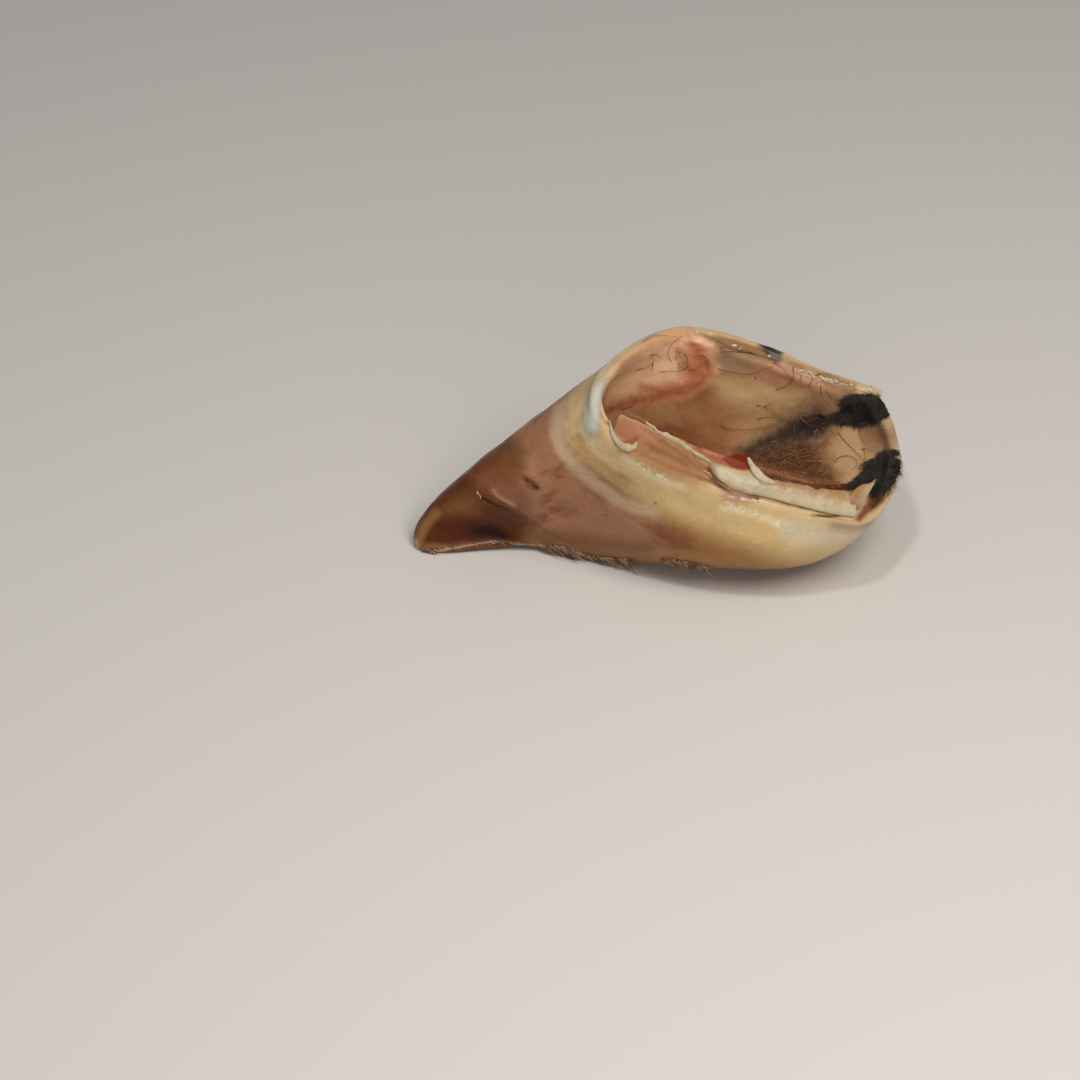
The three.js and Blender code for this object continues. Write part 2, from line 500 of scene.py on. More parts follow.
def ramp_up(tree, value, low, high):
    """0 below low, 1 above high, smooth between."""
    node = tree.nodes.new("ShaderNodeMapRange")
    node.interpolation_type = "SMOOTHSTEP"
    for socket, item in zip(node.inputs, (value, low, high)):
        feed(tree, socket, item)
    return node.outputs[0]


def noise_value(tree, vector, scale, detail=3.0, roughness=0.55, distortion=0.0):
    node = tree.nodes.new("ShaderNodeTexNoise")
    node.inputs["Scale"].default_value = scale
    node.inputs["Detail"].default_value = detail
    node.inputs["Roughness"].default_value = roughness
    node.inputs["Distortion"].default_value = distortion
    tree.links.new(vector, node.inputs["Vector"])
    return node.outputs[0]


def attribute_value(tree, name, output="Fac"):
    node = tree.nodes.new("ShaderNodeAttribute")
    node.attribute_name = name
    return node.outputs[output]


def object_place(tree):
    return tree.nodes.new("ShaderNodeTexCoord").outputs["Object"]


def use_group(tree, group, **values):
    """Places a node group. A value is a number, a colour or another node's output."""
    node = tree.nodes.new("ShaderNodeGroup")
    node.node_tree = group
    for label, value in values.items():
        feed(tree, node.inputs[label], value)
    return node


def stain_and_light_group():
    """A patch with a ragged edge over a colour, for stains and for painted shade and highlights alike.
    """
    group, given, out = node_group(
        "Stain",
        [
            ("Colour", COLOUR, None),
            ("Stain", COLOUR, None),
            ("Field", FLOAT, 0.0),
            ("Grain", FLOAT, 0.5),
            ("Ragged", FLOAT, 0.3),
            ("Softness", FLOAT, 0.3),
        ],
        [("Colour", COLOUR), ("Mask", FLOAT)],
    )
    jitter = maths(group, "SUBTRACT", given.outputs["Grain"], 0.5)
    jitter = maths(group, "MULTIPLY", jitter, given.outputs["Ragged"])
    reach = maths(group, "MULTIPLY", given.outputs["Field"], RAGGED_RISE, clamp=True)
    jitter = maths(group, "MULTIPLY", jitter, reach)
    field = maths(group, "ADD", given.outputs["Field"], jitter)
    low = maths(group, "SUBTRACT", 0.5, given.outputs["Softness"])
    high = maths(group, "ADD", 0.5, given.outputs["Softness"])
    mask = ramp_up(group, field, low, high)
    colour = mix_colours(group, mask, given.outputs["Colour"], given.outputs["Stain"])
    group.links.new(colour, out.inputs["Colour"])
    group.links.new(mask, out.inputs["Mask"])
    return group


def line_group():
    """A fine uneven line over a colour, from its signed gap in pixels and its weight."""
    group, given, out = node_group(
        "Fine line",
        [
            ("Colour", COLOUR, None),
            ("Line", COLOUR, None),
            ("Gap", FLOAT, FAR_GAP),
            ("Weight", FLOAT, 0.0),
            ("Place", VECTOR, None),
        ],
        [("Colour", COLOUR), ("Mask", FLOAT)],
    )
    place, weight = given.outputs["Place"], given.outputs["Weight"]
    waver = maths(group, "SUBTRACT", noise_value(group, place, WAVER_SCALE, 2), 0.5)
    waver = maths(group, "MULTIPLY", waver, LINE_WAVER)
    gap = maths(group, "ABSOLUTE", maths(group, "ADD", given.outputs["Gap"], waver))
    breaks = maths(group, "ADD", noise_value(group, place, BREAK_SCALE, 3), LINE_LEAST)
    width = maths(group, "MULTIPLY", maths(group, "MULTIPLY", weight, breaks), LINE_WIDTH)
    mask = ramp_up(group, maths(group, "SUBTRACT", width, gap), 0.0, LINE_SOFTNESS)
    strength = maths(group, "MULTIPLY", weight, LINE_STRENGTH, clamp=True)
    mask = maths(group, "MULTIPLY", mask, strength)
    colour = mix_colours(group, mask, given.outputs["Colour"], given.outputs["Line"])
    group.links.new(colour, out.inputs["Colour"])
    group.links.new(mask, out.inputs["Mask"])
    return group


def mottle_group():
    """Uneven tone of wet tissue: cloudy, with fine dark and light specks."""
    group, given, out = node_group(
        "Mottle",
        [
            ("Colour", COLOUR, None),
            ("Place", VECTOR, None),
            ("Clouds", FLOAT, 0.25),
            ("Specks", FLOAT, 0.15),
        ],
        [("Colour", COLOUR), ("Height", FLOAT)],
    )
    place = given.outputs["Place"]
    clouds = noise_value(group, place, CLOUD_SCALE, 4)
    specks = noise_value(group, place, SPECK_SCALE, 3, 0.6)
    tone = weighted_sum(
        group,
        (maths(group, "SUBTRACT", clouds, 0.5), given.outputs["Clouds"]),
        (maths(group, "SUBTRACT", specks, 0.5), given.outputs["Specks"]),
    )
    colour = toned(group, given.outputs["Colour"], maths(group, "ADD", tone, 1.0))
    height = weighted_sum(group, (clouds, 0.6), (specks, 0.4))
    group.links.new(colour, out.inputs["Colour"])
    group.links.new(height, out.inputs["Height"])
    return group


def growth_group():
    """Fine rings of growth, level with the coronet, crossed by faint upright fibres."""
    group, given, out = node_group(
        "Growth rings",
        [("Colour", COLOUR, None), ("Place", VECTOR, None), ("Shade", FLOAT, 1.0)],
        [("Colour", COLOUR), ("Height", FLOAT)],
    )
    terms = []
    for stretch, scale, weight in GROWTH_PATTERNS:
        mapping = group.nodes.new("ShaderNodeMapping")
        mapping.inputs["Scale"].default_value = stretch
        group.links.new(given.outputs["Place"], mapping.inputs["Vector"])
        terms.append((noise_value(group, mapping.outputs[0], scale, 3, 0.6, 0.3), weight))
    height = weighted_sum(group, *terms)
    tone = maths(group, "SUBTRACT", height, GROWTH_MEAN)
    tone = maths(group, "MULTIPLY", tone, maths(group, "MULTIPLY", given.outputs["Shade"], 0.8))
    colour = toned(group, given.outputs["Colour"], maths(group, "ADD", tone, 1.0))
    group.links.new(colour, out.inputs["Colour"])
    group.links.new(height, out.inputs["Height"])
    return group


GROUPS = {}


def shared_group(maker):
    if maker.__name__ not in GROUPS:
        GROUPS[maker.__name__] = maker()
    return GROUPS[maker.__name__]


def new_material(name):
    material = bpy.data.materials.new(name)
    material.use_nodes = True
    tree = material.node_tree
    return material, tree, tree.nodes["Principled BSDF"]


def add_bump(tree, shader, height, distance, strength=1.0):
    bump = tree.nodes.new("ShaderNodeBump")
    bump.inputs["Distance"].default_value = distance
    bump.inputs["Strength"].default_value = strength
    tree.links.new(height, bump.inputs["Height"])
    tree.links.new(bump.outputs[0], shader.inputs["Normal"])


def moisten(shader, scatter, scatter_size, coat):
    """Light scatters a little in the tissue, under a thin wet film."""
    shader.inputs["Specular IOR Level"].default_value = 0.14
    shader.inputs["Subsurface Weight"].default_value = scatter
    shader.inputs["Subsurface Radius"].default_value = (1.0, 0.5, 0.3)
    shader.inputs["Subsurface Scale"].default_value = scatter_size
    shader.inputs["Coat Weight"].default_value = coat
    shader.inputs["Coat Roughness"].default_value = 0.12
    shader.inputs["Coat IOR"].default_value = 1.36


# Stains of the skin, with patches of painted shade and painted highlights, laid one over the other
# name: (side, colour, fade in pixels, ragged, softness, strokes and areas)
# A stroke is (view, half width in pixels, points). An area is (view, None, outline).

STAINS_AND_PAINTED_LIGHT = {
    # outside
    "toe_brown": ("out", (88, 40, 14), 16, 0.3, 0.5, [
        (TOE, None, [(0, 760), (150, 560), (330, 420), (480, 310), (600, 235), (660, 215), (690, 300),
                     (700, 400), (690, 520), (740, 640), (790, 760), (760, 900), (500, 900), (200, 960),
                     (0, 930)]),
    ]),
    "toe_warm": ("out", (122, 70, 40), 12, 0.4, 0.5, [
        (TOE, None, [(420, 450), (520, 380), (620, 330), (710, 400), (700, 500), (580, 490),
                     (460, 520)]),
    ]),
    "toe_ochre": ("out", (112, 72, 40), 12, 0.4, 0.5, [
        (TOE, None, [(290, 600), (400, 545), (480, 590), (460, 680), (380, 720), (280, 700),
                     (230, 660)]),
        (TOE, None, [(560, 330), (680, 260), (760, 300), (700, 400), (600, 410)]),
    ]),
    "toe_border": ("out", (138, 98, 58), 5, 0.3, 0.4, [
        (TOE, 5, [(115, 890), (110, 830), (150, 750), (215, 680)]),
        (TOE, 2.5, [(150, 880), (300, 880), (420, 862), (560, 845)]),
    ]),
    "toe_crumb": ("out", (176, 146, 118), 1.5, 1.2, 0.4, [
        (TOE, 2.2, [(72, 872), (92, 850), (112, 900), (150, 905), (190, 912)]),
        (TOE, 0.9, [(190, 908), (300, 892), (390, 874), (440, 866), (540, 846), (640, 852),
                    (720, 872)]),
        (TOE, 1.4, [(720, 872), (800, 878), (870, 892), (960, 884), (1020, 884), (1060, 900)]),
    ]),
    "ochre_foot": ("out", (122, 80, 42), 8, 0.4, 0.5, [
        (TOE, 7, [(860, 840), (960, 830), (1100, 848), (1260, 872), (1500, 900)]),
    ]),
    # The toe's hollow: its own dark red-brown, deepened with painted shade in the recess and darkest
    # along its deepest crease
    "hollow_red_and_shade": ("out", (74, 31, 10), 10, 0.4, 0.5, [
        (TOE, None, [(230, 740), (330, 690), (450, 715), (600, 750), (700, 825), (620, 850),
                     (450, 850), (320, 850), (240, 820)]),
    ]),
    "hollow_brown_and_shade": ("out", (46, 14, 4), 9, 0.5, 0.5, [
        (TOE, None, [(400, 775), (450, 745), (550, 758), (645, 802), (675, 834), (590, 838),
                     (480, 830), (420, 812)]),
    ]),
    "hollow_painted_shade": ("out", (34, 10, 4), 4, 0.4, 0.45, [
        (TOE, 3.5, [(470, 790), (540, 795), (620, 830)]),
    ]),
    "pale_shoulder": ("out", (124, 80, 54), 14, 0.4, 0.5, [
        (TOE, None, [(500, 470), (620, 450), (760, 520), (760, 650), (640, 620), (520, 550)]),
    ]),
    # Painted highlight along the ridge above the toe's crease
    "ridge_painted_highlight": ("out", (158, 122, 96), 3, 0.5, 0.5, [
        (TOE, 1.6, [(560, 545), (600, 585), (650, 610), (690, 632)]),
    ]),
    "white_band": ("out", (176, 148, 116), 5, 0.3, 0.45, [
        (TOE, 6, [(960, 60), (935, 140), (940, 210), (960, 290), (1020, 360), (1090, 430),
                  (1150, 480), (1220, 535), (1310, 600), (1400, 645), (1520, 670)]),
    ]),
    "yellow_band": ("out", (172, 138, 92), 4, 0.4, 0.45, [
        (TOE, 6, [(1060, 230), (1110, 320), (1200, 400), (1300, 480), (1430, 560), (1560, 620)]),
    ]),
    "cream_edge": ("out", (190, 165, 124), 5, 0.3, 0.45, [
        (TOE, 6, [(1110, 120), (1150, 230), (1220, 320), (1320, 390), (1440, 450), (1560, 510)]),
    ]),
    "bulb_yellow": ("out", (192, 163, 112), 15, 0.35, 0.5, [
        (OPENING, None, [(330, 740), (460, 790), (600, 830), (740, 880), (900, 930), (1150, 960),
                         (1300, 960), (1400, 960), (1380, 1060), (1200, 1240), (640, 1240),
                         (560, 1110), (470, 1000), (370, 905), (290, 810)]),
    ]),
    # Amber of the bulb's lower part, darkened with painted shade where the bulb turns down
    "bulb_amber_and_shade": ("out", (148, 102, 52), 15, 0.3, 0.5, [
        (OPENING, None, [(450, 950), (538, 975), (663, 1030), (788, 1085), (913, 1132), (1038, 1174),
                         (1140, 1205), (1140, 1260), (420, 1260), (400, 1100)]),
    ]),
    # Painted highlight along the top of the lip
    "lip_painted_highlight": ("out", (206, 186, 142), 5, 0.5, 0.5, [
        (OPENING, 3, [(255, 675), (300, 715), (367, 760), (440, 792), (520, 815)]),
        (OPENING, 3, [(700, 905), (800, 925), (900, 960), (1000, 1000)]),
    ]),
    "bulb_pale": ("out", (196, 180, 150), 12, 0.25, 0.45, [
        (OPENING, 12, [(1020, 1010), (1150, 1040), (1280, 1040), (1360, 1010)]),
    ]),
    "heel_grey": ("out", (148, 124, 102), 8, 0.4, 0.5, [
        (OPENING, 5, [(1215, 985), (1270, 992), (1330, 990), (1390, 980)]),
    ]),
    "bulb_stain": ("out", (122, 70, 40), 9, 0.9, 0.5, [
        (OPENING, None, [(354, 997), (421, 972), (471, 1013), (554, 1055), (563, 1097), (488, 1105),
                         (404, 1063)]),
    ]),
    # Painted shade in the toe's crease
    "crease_painted_shade": ("out", (84, 44, 20), 4, 0.7, 0.5, [
        (TOE, 2.0, [(480, 590), (530, 622), (580, 648)]),
        (TOE, 4.0, [(580, 655), (660, 692), (740, 728)]),
    ]),
    "scar_halo": ("out", (106, 66, 40), 2.5, 0.9, 0.5, [
        (TOE, None, [(718, 440), (770, 460), (825, 500), (848, 540), (822, 552), (775, 530),
                     (742, 490)]),
    ]),
    "scar": ("out", (82, 48, 26), 1.6, 1.6, 0.35, [
        (TOE, 0.9, [(742, 462), (770, 492), (800, 524), (826, 542)]),
        (TOE, 0.6, [(800, 498), (824, 516), (838, 540)]),
    ]),
    "moles": ("out", (70, 40, 28), 1.6, 0.3, 0.4, [
        (OPENING, 1.0, [(390, 883), (392, 888)]),
        (TOE, 0.8, [(1240, 685), (1246, 692)]),
        (TOE, 0.7, [(752, 208), (756, 212)]),
        (TOE, 0.7, [(1004, 102), (1008, 108)]),
    ]),
    # rim
    "rim_tan": ("any", (138, 102, 70), 4, 0.5, 0.45, [
        (OPENING, 7, [(600, 130), (700, 150), (780, 170), (860, 200), (940, 235), (1040, 272),
                      (1150, 315), (1290, 362)]),
    ]),
    "rim_smudge": ("any", (48, 38, 32), 4, 0.5, 0.5, [
        (OPENING, None, [(848, 126), (905, 142), (978, 190), (964, 242), (925, 228), (878, 182)]),
    ]),
    "groove_red": ("any", (132, 70, 44), 2, 0.3, 0.45, [
        (OPENING, 1.6, [(132, 440), (145, 480), (160, 510), (176, 520)]),
    ]),
    "basin_tan": ("rim", (150, 106, 68), 7, 0.4, 0.5, [
        (OPENING, None, [(240, 640), (290, 540), (420, 565), (540, 630), (640, 700), (700, 800),
                         (590, 796), (470, 766), (370, 728), (300, 690)]),
    ]),
    "basin_folds": ("rim", (126, 82, 50), 3.5, 0.8, 0.5, [
        (OPENING, 1.5, [(330, 600), (400, 640), (470, 672), (540, 712)]),
        (OPENING, 1.0, [(420, 600), (500, 650), (570, 700), (620, 745)]),
    ]),
    "sheet_flesh": ("rim", (160, 108, 78), 7, 0.5, 0.5, [
        (OPENING, None, [(185, 500), (250, 475), (330, 515), (430, 565), (360, 610), (280, 630),
                         (210, 590)]),
    ]),
    "sheet_rim": ("any", (208, 172, 132), 1.8, 0.6, 0.5, [
        (OPENING, 0.9, [(262, 474), (310, 492), (355, 512), (405, 540), (455, 566)]),
    ]),
    "sheet_red": ("rim", (138, 82, 50), 2.5, 0.6, 0.5, [
        (OPENING, 1.5, [(215, 605), (255, 612), (290, 600), (310, 585)]),
        (OPENING, 1.0, [(560, 690), (590, 725), (630, 745)]),
    ]),
    "leaf_shadow": ("any", (100, 58, 36), 2.5, 0.6, 0.5, [
        (OPENING, 2.5, [(638, 728), (655, 772), (700, 815), (745, 842), (800, 858), (860, 866)]),
        (OPENING, 0.6, [(1110, 942), (1190, 948), (1270, 942)]),
    ]),
    "rosy_lip": ("any", (178, 128, 100), 6, 0.9, 0.5, [
        (OPENING, None, [(690, 845), (770, 850), (830, 872), (790, 895), (705, 880)]),
    ]),
    "heel_wedge": ("any", (112, 70, 42), 3, 0.5, 0.5, [
        (OPENING, None, [(1308, 960), (1345, 900), (1385, 865), (1440, 850), (1475, 835),
                         (1430, 890), (1370, 935), (1330, 972)]),
    ]),
    "heel_tan": ("any", (156, 124, 94), 6, 0.4, 0.5, [
        (OPENING, None, [(1330, 545), (1400, 530), (1480, 500), (1520, 520), (1530, 640),
                         (1440, 650), (1380, 662), (1330, 620)]),
    ]),
    "heel_edge": ("any", (184, 164, 146), 3, 0.4, 0.5, [
        (OPENING, 1.6, [(1494, 480), (1508, 540), (1514, 620), (1510, 660)]),
    ]),
    "heel_blotch": ("any", (140, 100, 66), 8, 1.2, 0.5, [
        (OPENING, None, [(1345, 560), (1390, 540), (1450, 552), (1480, 585), (1430, 620),
                         (1370, 610)]),
    ]),
    # inside
    "flesh_pink": ("any", (250, 204, 162), 7, 0.4, 0.5, [
        (OPENING, None, [(165, 345), (250, 245), (330, 185), (430, 135), (520, 118), (600, 125),
                         (650, 160), (685, 210), (690, 265), (650, 300), (600, 345), (545, 390),
                         (440, 410), (350, 425), (270, 450), (190, 490), (160, 505), (150, 430)]),
    ]),
    "rim_light": ("any", (164, 149, 120), 2.5, 0.3, 0.5, [
        (OPENING, 2.6, [(110, 345), (143, 300), (195, 247), (252, 201), (321, 149), (390, 109),
                        (459, 80)]),
    ]),
    "rim_cream": ("any", (180, 152, 108), 2.5, 0.4, 0.5, [
        (OPENING, 2.2, [(459, 80), (516, 73), (585, 92), (665, 109), (757, 126), (849, 149)]),
    ]),
    "roll_white": ("any", (164, 152, 126), 5, 0.2, 0.5, [
        (OPENING, None, [(162, 306), (125, 332), (92, 370), (68, 415), (50, 465), (42, 520),
                         (66, 578), (112, 588), (146, 552), (142, 490), (140, 440), (148, 390),
                         (164, 345)]),
    ]),
    # Painted highlight along the pale roll of the rim
    "roll_painted_highlight": ("any", (186, 182, 170), 5, 0.3, 0.5, [
        (OPENING, None, [(152, 330), (118, 362), (92, 402), (74, 455), (70, 510), (88, 555),
                         (122, 552), (132, 490), (132, 435), (142, 385)]),
    ]),
    "flesh_top": ("any", (180, 134, 96), 8, 0.5, 0.5, [
        (OPENING, 6, [(240, 250), (320, 185), (400, 148), (470, 124), (540, 116)]),
    ]),
    "flesh_warm": ("in", (204, 128, 86), 12, 0.5, 0.5, [
        (OPENING, None, [(560, 130), (620, 180), (655, 250), (640, 300), (560, 370), (440, 410),
                         (300, 440), (150, 500), (130, 460), (280, 395), (420, 350), (510, 330),
                         (540, 260), (520, 190)]),
    ]),
    "flesh_brick": ("in", (162, 82, 50), 9, 0.6, 0.5, [
        (OPENING, 2.5, [(570, 160), (600, 200), (632, 250), (636, 290), (595, 330), (540, 368),
                        (470, 385)]),
        (OPENING, 2.5, [(135, 480), (200, 455), (280, 422), (360, 405), (430, 392), (520, 375)]),
        (OPENING, 1.5, [(495, 195), (520, 240), (560, 270)]),
        (OPENING, 1.5, [(330, 350), (420, 372), (500, 362)]),
    ]),
    "beige": ("in", (208, 174, 126), 12, 0.3, 0.5, [
        (OPENING, None, [(660, 320), (760, 300), (880, 320), (1000, 350), (1100, 380), (1120, 430),
                         (1040, 450), (900, 450), (760, 440), (680, 400)]),
    ]),
    "grey_veil": ("in", (172, 142, 112), 7, 0.4, 0.5, [
        (OPENING, None, [(650, 210), (720, 200), (800, 212), (850, 232), (860, 260), (800, 282),
                         (720, 275), (665, 255)]),
    ]),
    "rose_veil": ("any", (184, 134, 102), 7, 0.4, 0.5, [
        (OPENING, None, [(860, 240), (960, 250), (1050, 290), (1150, 330), (1190, 400), (1120, 385),
                         (1040, 360), (960, 345), (880, 330), (840, 290)]),
    ]),
    "low_brown": ("in", (142, 93, 60), 14, 0.4, 0.5, [
        (OPENING, 9, [(430, 560), (560, 600), (660, 640), (780, 690), (900, 720)]),
    ]),
    # Painted shade in the crevice behind the sheet
    "crevice_painted_shade": ("in", (84, 44, 28), 3, 0.5, 0.5, [
        (OPENING, 1.0, [(360, 520), (440, 555), (520, 605)]),
    ]),
    "heel_cream": ("in", (178, 142, 106), 6, 0.3, 0.45, [
        (OPENING, None, [(1130, 370), (1240, 395), (1250, 440), (1180, 500), (1130, 470),
                         (1060, 440), (1040, 400)]),
        (OPENING, None, [(1200, 570), (1300, 560), (1330, 640), (1320, 720), (1240, 740),
                         (1205, 660)]),
    ]),
    # Painted shade in the cavity just behind the sheet's edge
    "behind_edge_painted_shade": ("any", (142, 92, 60), 3, 0.4, 0.5, [
        (OPENING, None, [(420, 545), (480, 572), (550, 618), (650, 672), (730, 692), (850, 735),
                         (850, 700), (700, 625), (560, 560), (440, 520)]),
    ]),
    "hairy_brown": ("any", (84, 50, 28), 17, 0.8, 0.5, [
        (OPENING, None, [(790, 670), (880, 630), (1000, 590), (1100, 560), (1150, 610), (1180, 690),
                         (1230, 770), (1240, 815), (1100, 808), (960, 775), (850, 735)]),
    ]),
    "smudge": ("in", (46, 33, 26), 15, 0.35, 0.5, [
        (OPENING, None, [(770, 640), (850, 580), (960, 525), (1060, 475), (1130, 458), (1200, 490),
                         (1210, 570), (1130, 590), (1050, 615), (960, 640), (870, 670), (800, 685)]),
        (OPENING, 2, [(1130, 490), (1220, 500)]),
    ]),
    "smudge_core": ("in", (44, 35, 32), 9, 0.4, 0.5, [
        (OPENING, None, [(975, 560), (1055, 495), (1147, 465), (1187, 505), (1170, 555),
                         (1078, 575)]),
    ]),
    "orange_specks": ("any", (86, 40, 16), 4, 1.4, 0.2, [
        (OPENING, 4, [(880, 735), (980, 772), (1080, 804), (1180, 816), (1300, 810)]),
    ]),
    "tan_specks": ("any", (128, 78, 44), 5, 2.0, 0.1, [
        (OPENING, 1.0, [(850, 705), (930, 735), (1040, 770), (1140, 795), (1230, 800)]),
    ]),
    "pink_seam": ("any", (124, 74, 46), 3, 0.9, 0.5, [
        (OPENING, 2.5, [(835, 705), (900, 727), (1000, 757)]),
    ]),
    "rosy_seam": ("any", (148, 86, 56), 3, 0.7, 0.5, [
        (OPENING, None, [(540, 604), (642, 650), (734, 660), (803, 682), (803, 734), (734, 728),
                         (665, 700), (573, 650)]),
    ]),
    "blood": ("any", (120, 42, 14), 2, 0.5, 0.4, [
        (OPENING, None, [(695, 680), (760, 658), (812, 668), (838, 702), (860, 730), (790, 735),
                         (740, 722)]),
        (OPENING, 1.0, [(535, 605), (570, 618), (605, 640)]),
    ]),
    "fur_bed": ("any", (30, 22, 20), 2.5, 1.2, 0.35, [
        (OPENING, None, [(1255, 398), (1300, 388), (1380, 383), (1425, 402), (1455, 425),
                         (1488, 462), (1465, 490), (1400, 516), (1340, 528), (1285, 516),
                         (1235, 514), (1245, 485), (1255, 440)]),
        (OPENING, None, [(1400, 682), (1470, 662), (1516, 688), (1516, 738), (1488, 786), (1456, 824),
                         (1424, 854), (1390, 862), (1380, 820), (1340, 790), (1300, 824), (1268, 820),
                         (1310, 780), (1340, 745), (1370, 714)]),
        (OPENING, 2, [(1240, 500), (1190, 500), (1140, 488)]),
        (OPENING, 1.6, [(1415, 668), (1450, 650), (1500, 650)]),
    ]),
}

# Fine cracks and streaks, with painted shade in grooves and painted glints. kind: colour, and (side,
# weight up to 1, view, points) each
LINES = {
    # The lines that carry the toe's crease on, follow the far rim's ledge and lie in the groove beside
    # the sheet's foot are painted shade in those grooves; the rest are fine brown streaks and cracks
    "brown": ((98, 56, 36), [
        ("out", 0.5, TOE, [(650, 664), (700, 690), (770, 722), (850, 770), (920, 830), (985, 880)]),
        ("out", 0.3, TOE, [(760, 575), (900, 650), (1050, 740)]),
        ("out", 0.25, TOE, [(850, 520), (990, 620), (1110, 700)]),
        ("out", 0.3, TOE, [(830, 630), (980, 722), (1080, 790)]),
        ("out", 0.25, TOE, [(900, 470), (1040, 560), (1160, 640)]),
        ("out", 0.35, TOE, [(1100, 600), (1200, 680), (1290, 740)]),
        ("out", 0.35, TOE, [(1310, 548), (1345, 575), (1390, 580)]),
        ("out", 0.35, TOE, [(1225, 535), (1250, 552)]),
        ("out", 0.4, TOE, [(1420, 725), (1470, 760), (1530, 785)]),
        ("out", 0.35, OPENING, [(270, 905), (335, 915), (385, 900)]),
        ("out", 0.35, OPENING, [(262, 930), (320, 980), (400, 1010), (445, 1012)]),
        ("out", 0.3, OPENING, [(425, 955), (440, 1000)]),
        ("out", 0.3, OPENING, [(860, 1125), (900, 1115), (980, 1085)]),
        ("out", 0.25, OPENING, [(745, 1035), (780, 1012), (820, 1005)]),
        ("out", 0.2, OPENING, [(770, 1080), (850, 1050), (900, 1000)]),
        ("any", 0.5, OPENING, [(620, 120), (700, 155), (745, 184), (830, 196), (862, 210),
                               (950, 236)]),
        ("any", 0.35, OPENING, [(380, 132), (450, 125), (510, 118)]),
        ("any", 0.35, OPENING, [(1040, 262), (1120, 300), (1210, 330), (1290, 352)]),
        ("rim", 0.3, OPENING, [(540, 655), (580, 705), (625, 742)]),
        ("any", 0.45, OPENING, [(560, 760), (620, 775), (690, 815)]),
        ("any", 0.3, OPENING, [(1060, 905), (1110, 912)]),
    ]),
    # The lines along the toe's crease, under the strip and along the far rim's ledge are painted shade;
    # the two at the scar are its own dark marks
    "dark": ((60, 29, 15), [
        ("out", 0.6, TOE, [(470, 578), (500, 602), (560, 632), (650, 664)]),
        ("out", 0.4, TOE, [(744, 466), (768, 494), (796, 524), (834, 544)]),
        ("out", 0.35, TOE, [(796, 496), (820, 512), (838, 536)]),
        ("any", 0.6, OPENING, [(1110, 940), (1190, 947), (1275, 940)]),
        ("any", 0.5, OPENING, [(700, 192), (760, 192), (830, 197), (862, 210)]),
    ]),
    # The first line, along the ridge above the toe's crease, is a painted highlight
    "pale": ((206, 184, 158), [
        ("out", 0.4, TOE, [(545, 540), (600, 588), (650, 614), (692, 636)]),
        ("out", 0.3, TOE, [(700, 640), (790, 700), (900, 770)]),
        ("out", 0.3, TOE, [(712, 372), (728, 395)]),
        ("out", 0.3, TOE, [(770, 600), (900, 690), (1000, 750)]),
        ("out", 0.25, TOE, [(640, 560), (740, 620), (800, 650)]),
        ("out", 0.25, TOE, [(860, 590), (960, 650), (1060, 700)]),
        ("out", 0.45, TOE, [(170, 905), (230, 900), (330, 888), (450, 868), (560, 848), (640, 856)]),
        ("in", 0.4, OPENING, [(330, 462), (400, 435), (470, 412)]),
        ("in", 0.35, OPENING, [(560, 330), (650, 300)]),
        ("rim", 0.5, OPENING, [(600, 730), (640, 748), (660, 775)]),
        ("any", 0.3, OPENING, [(700, 862), (760, 870), (830, 868)]),
    ]),
    # Painted glints on the wet surface
    "painted_glints": ((236, 230, 220), [
        ("out", 0.5, TOE, [(462, 540), (468, 566), (484, 602)]),
        ("out", 0.3, TOE, [(503, 608), (509, 624)]),
        ("any", 0.6, OPENING, [(735, 160), (765, 163)]),
        ("any", 0.4, OPENING, [(720, 852), (760, 862)]),
        ("any", 0.4, OPENING, [(840, 872), (890, 874)]),
        ("any", 0.35, OPENING, [(1440, 544), (1462, 538), (1488, 528)]),
        ("any", 0.25, OPENING, [(1440, 612), (1458, 604)]),
    ]),
}
# In pixels: how far a line is felt, its full width, and the gap that stands for none near
LINE_REACH = 2.4
LINE_WIDTH = 1.8
FAR_GAP = 9.0
# A line thins out over this share of its length at each end
LINE_TAPER = 0.2

# Where the film of moisture is thick and beads, and where its glints are painted into the colour:
# (view, half width in pixels, points)
WET_PLACES = [
    (OPENING, 2.5, [(300, 700), (345, 728), (395, 756), (438, 770)]),
    (OPENING, 2.5, [(720, 892), (780, 912), (850, 938), (930, 968), (1010, 1008)]),
    (OPENING, 1.2, [(690, 845), (750, 862), (830, 872), (890, 874)]),
    (OPENING, 1.2, [(1075, 290), (1130, 305), (1200, 328)]),
]

